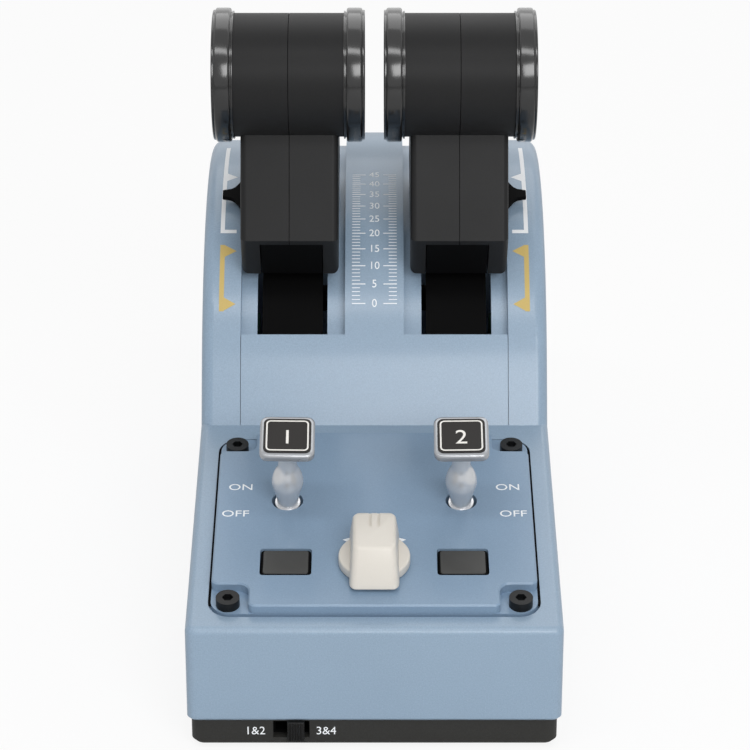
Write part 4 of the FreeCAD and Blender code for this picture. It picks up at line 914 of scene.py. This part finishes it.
class QUADRANT_OT_stage(bpy.types.Operator):
    """Set the floor, the soft lamps and the camera"""

    bl_idname = "quadrant.stage"
    bl_label = "Stage"

    def execute(self, context):
        clear_selection()
        bpy.ops.mesh.primitive_plane_add(size=8, location=(0, 0, 0))
        floor = bpy.context.object
        floor.name = "floor"
        floor.data.materials.append(self.floor_finish())
        for spot, aim, wide, deep, power in LAMPS:
            bpy.ops.object.light_add(type="AREA", location=spot)
            lamp = bpy.context.object
            lamp.data.shape = "RECTANGLE"
            lamp.data.size = wide
            lamp.data.size_y = deep
            lamp.data.energy = power
            aim_vector = Vector(aim) - Vector(spot)
            lamp.rotation_euler = aim_vector.to_track_quat("-Z", "Y").to_euler()
        self.world()
        bpy.ops.object.camera_add(
            location=CAMERA_PLACE, rotation=(math.radians(90) - CAMERA_TILT, 0, 0))
        camera = bpy.context.object
        camera.data.sensor_width = 36.0
        camera.data.lens = CAMERA_LENS
        camera.data.clip_start = 0.05
        camera.data.clip_end = 20.0
        context.scene.camera = camera
        context.scene.view_settings.view_transform = "Standard"
        return {"FINISHED"}

    def floor_finish(self):
        """Pale floor that shows pure white to the camera and keeps the shadow."""
        made = bpy.data.materials.new("floor_pale")
        made.use_nodes = True
        tree = made.node_tree
        shader = tree.nodes["Principled BSDF"]
        shader.inputs["Base Color"].default_value = (0.9, 0.9, 0.9, 1)
        shader.inputs["Roughness"].default_value = 0.9
        path = tree.nodes.new("ShaderNodeLightPath")
        share = tree.nodes.new("ShaderNodeMapRange")
        share.inputs["To Max"].default_value = 0.87
        glow = tree.nodes.new("ShaderNodeEmission")
        mix = tree.nodes.new("ShaderNodeMixShader")
        link = tree.links.new
        link(path.outputs["Is Camera Ray"], share.inputs["Value"])
        link(share.outputs["Result"], mix.inputs["Fac"])
        link(shader.outputs["BSDF"], mix.inputs[1])
        link(glow.outputs["Emission"], mix.inputs[2])
        link(mix.outputs["Shader"], tree.nodes["Material Output"].inputs["Surface"])
        return made

    def world(self):
        """Even grey light that looks white behind the object."""
        world = bpy.context.scene.world or bpy.data.worlds.new("studio")
        bpy.context.scene.world = world
        world.use_nodes = True
        tree = world.node_tree
        tree.nodes.clear()
        path = tree.nodes.new("ShaderNodeLightPath")
        seen = tree.nodes.new("ShaderNodeMath")
        seen.operation = "MAXIMUM"
        shown = tree.nodes.new("ShaderNodeMath")
        shown.operation = "MAXIMUM"
        strength = tree.nodes.new("ShaderNodeMapRange")
        strength.inputs["To Min"].default_value = 0.32
        strength.inputs["To Max"].default_value = 1.0
        light = tree.nodes.new("ShaderNodeBackground")
        light.inputs["Color"].default_value = (1, 1, 1, 1)
        out = tree.nodes.new("ShaderNodeOutputWorld")
        tree.links.new(path.outputs["Is Camera Ray"], seen.inputs[0])
        tree.links.new(path.outputs["Is Transmission Ray"], seen.inputs[1])
        tree.links.new(seen.outputs["Value"], shown.inputs[0])
        tree.links.new(path.outputs["Is Glossy Ray"], shown.inputs[1])
        tree.links.new(shown.outputs["Value"], strength.inputs["Value"])
        tree.links.new(strength.outputs["Result"], light.inputs["Strength"])
        tree.links.new(light.outputs["Background"], out.inputs["Surface"])


PIECES = (
    QUADRANT_OT_casing, QUADRANT_OT_inside, QUADRANT_OT_scale, QUADRANT_OT_range_marks,
    QUADRANT_OT_panel, QUADRANT_OT_toggles, QUADRANT_OT_selector, QUADRANT_OT_push_buttons,
    QUADRANT_OT_levers, QUADRANT_OT_source_switch, QUADRANT_OT_stage,
)


class QUADRANT_PT_sidebar(bpy.types.Panel):
    """The quadrant's pieces, colours and sizes in the sidebar."""

    bl_idname = "QUADRANT_PT_sidebar"
    bl_label = "Quadrant"
    bl_space_type = "VIEW_3D"
    bl_region_type = "UI"
    bl_category = "Quadrant"

    def draw(self, context):
        layout = self.layout
        for group in (context.scene.quadrant_colours, context.scene.quadrant_sizes):
            column = layout.column()
            for name in group.__annotations__:
                column.prop(group, name)
        column = layout.column()
        for piece in PIECES:
            column.operator(piece.bl_idname)


CLASSES = (QuadrantColours, QuadrantSizes, *PIECES, QUADRANT_PT_sidebar)


def register():
    for item in CLASSES:
        bpy.utils.register_class(item)
    bpy.types.Scene.quadrant_colours = bpy.props.PointerProperty(type=QuadrantColours)
    bpy.types.Scene.quadrant_sizes = bpy.props.PointerProperty(type=QuadrantSizes)


def unregister():
    del bpy.types.Scene.quadrant_sizes
    del bpy.types.Scene.quadrant_colours
    for item in reversed(CLASSES):
        bpy.utils.unregister_class(item)


def main():
    """Dress the frame piece by piece."""
    register()
    clear_selection()
    for piece in PIECES:
        group, name = piece.bl_idname.split(".")
        getattr(getattr(bpy.ops, group), name)()


if __name__ == "__main__":
    main()
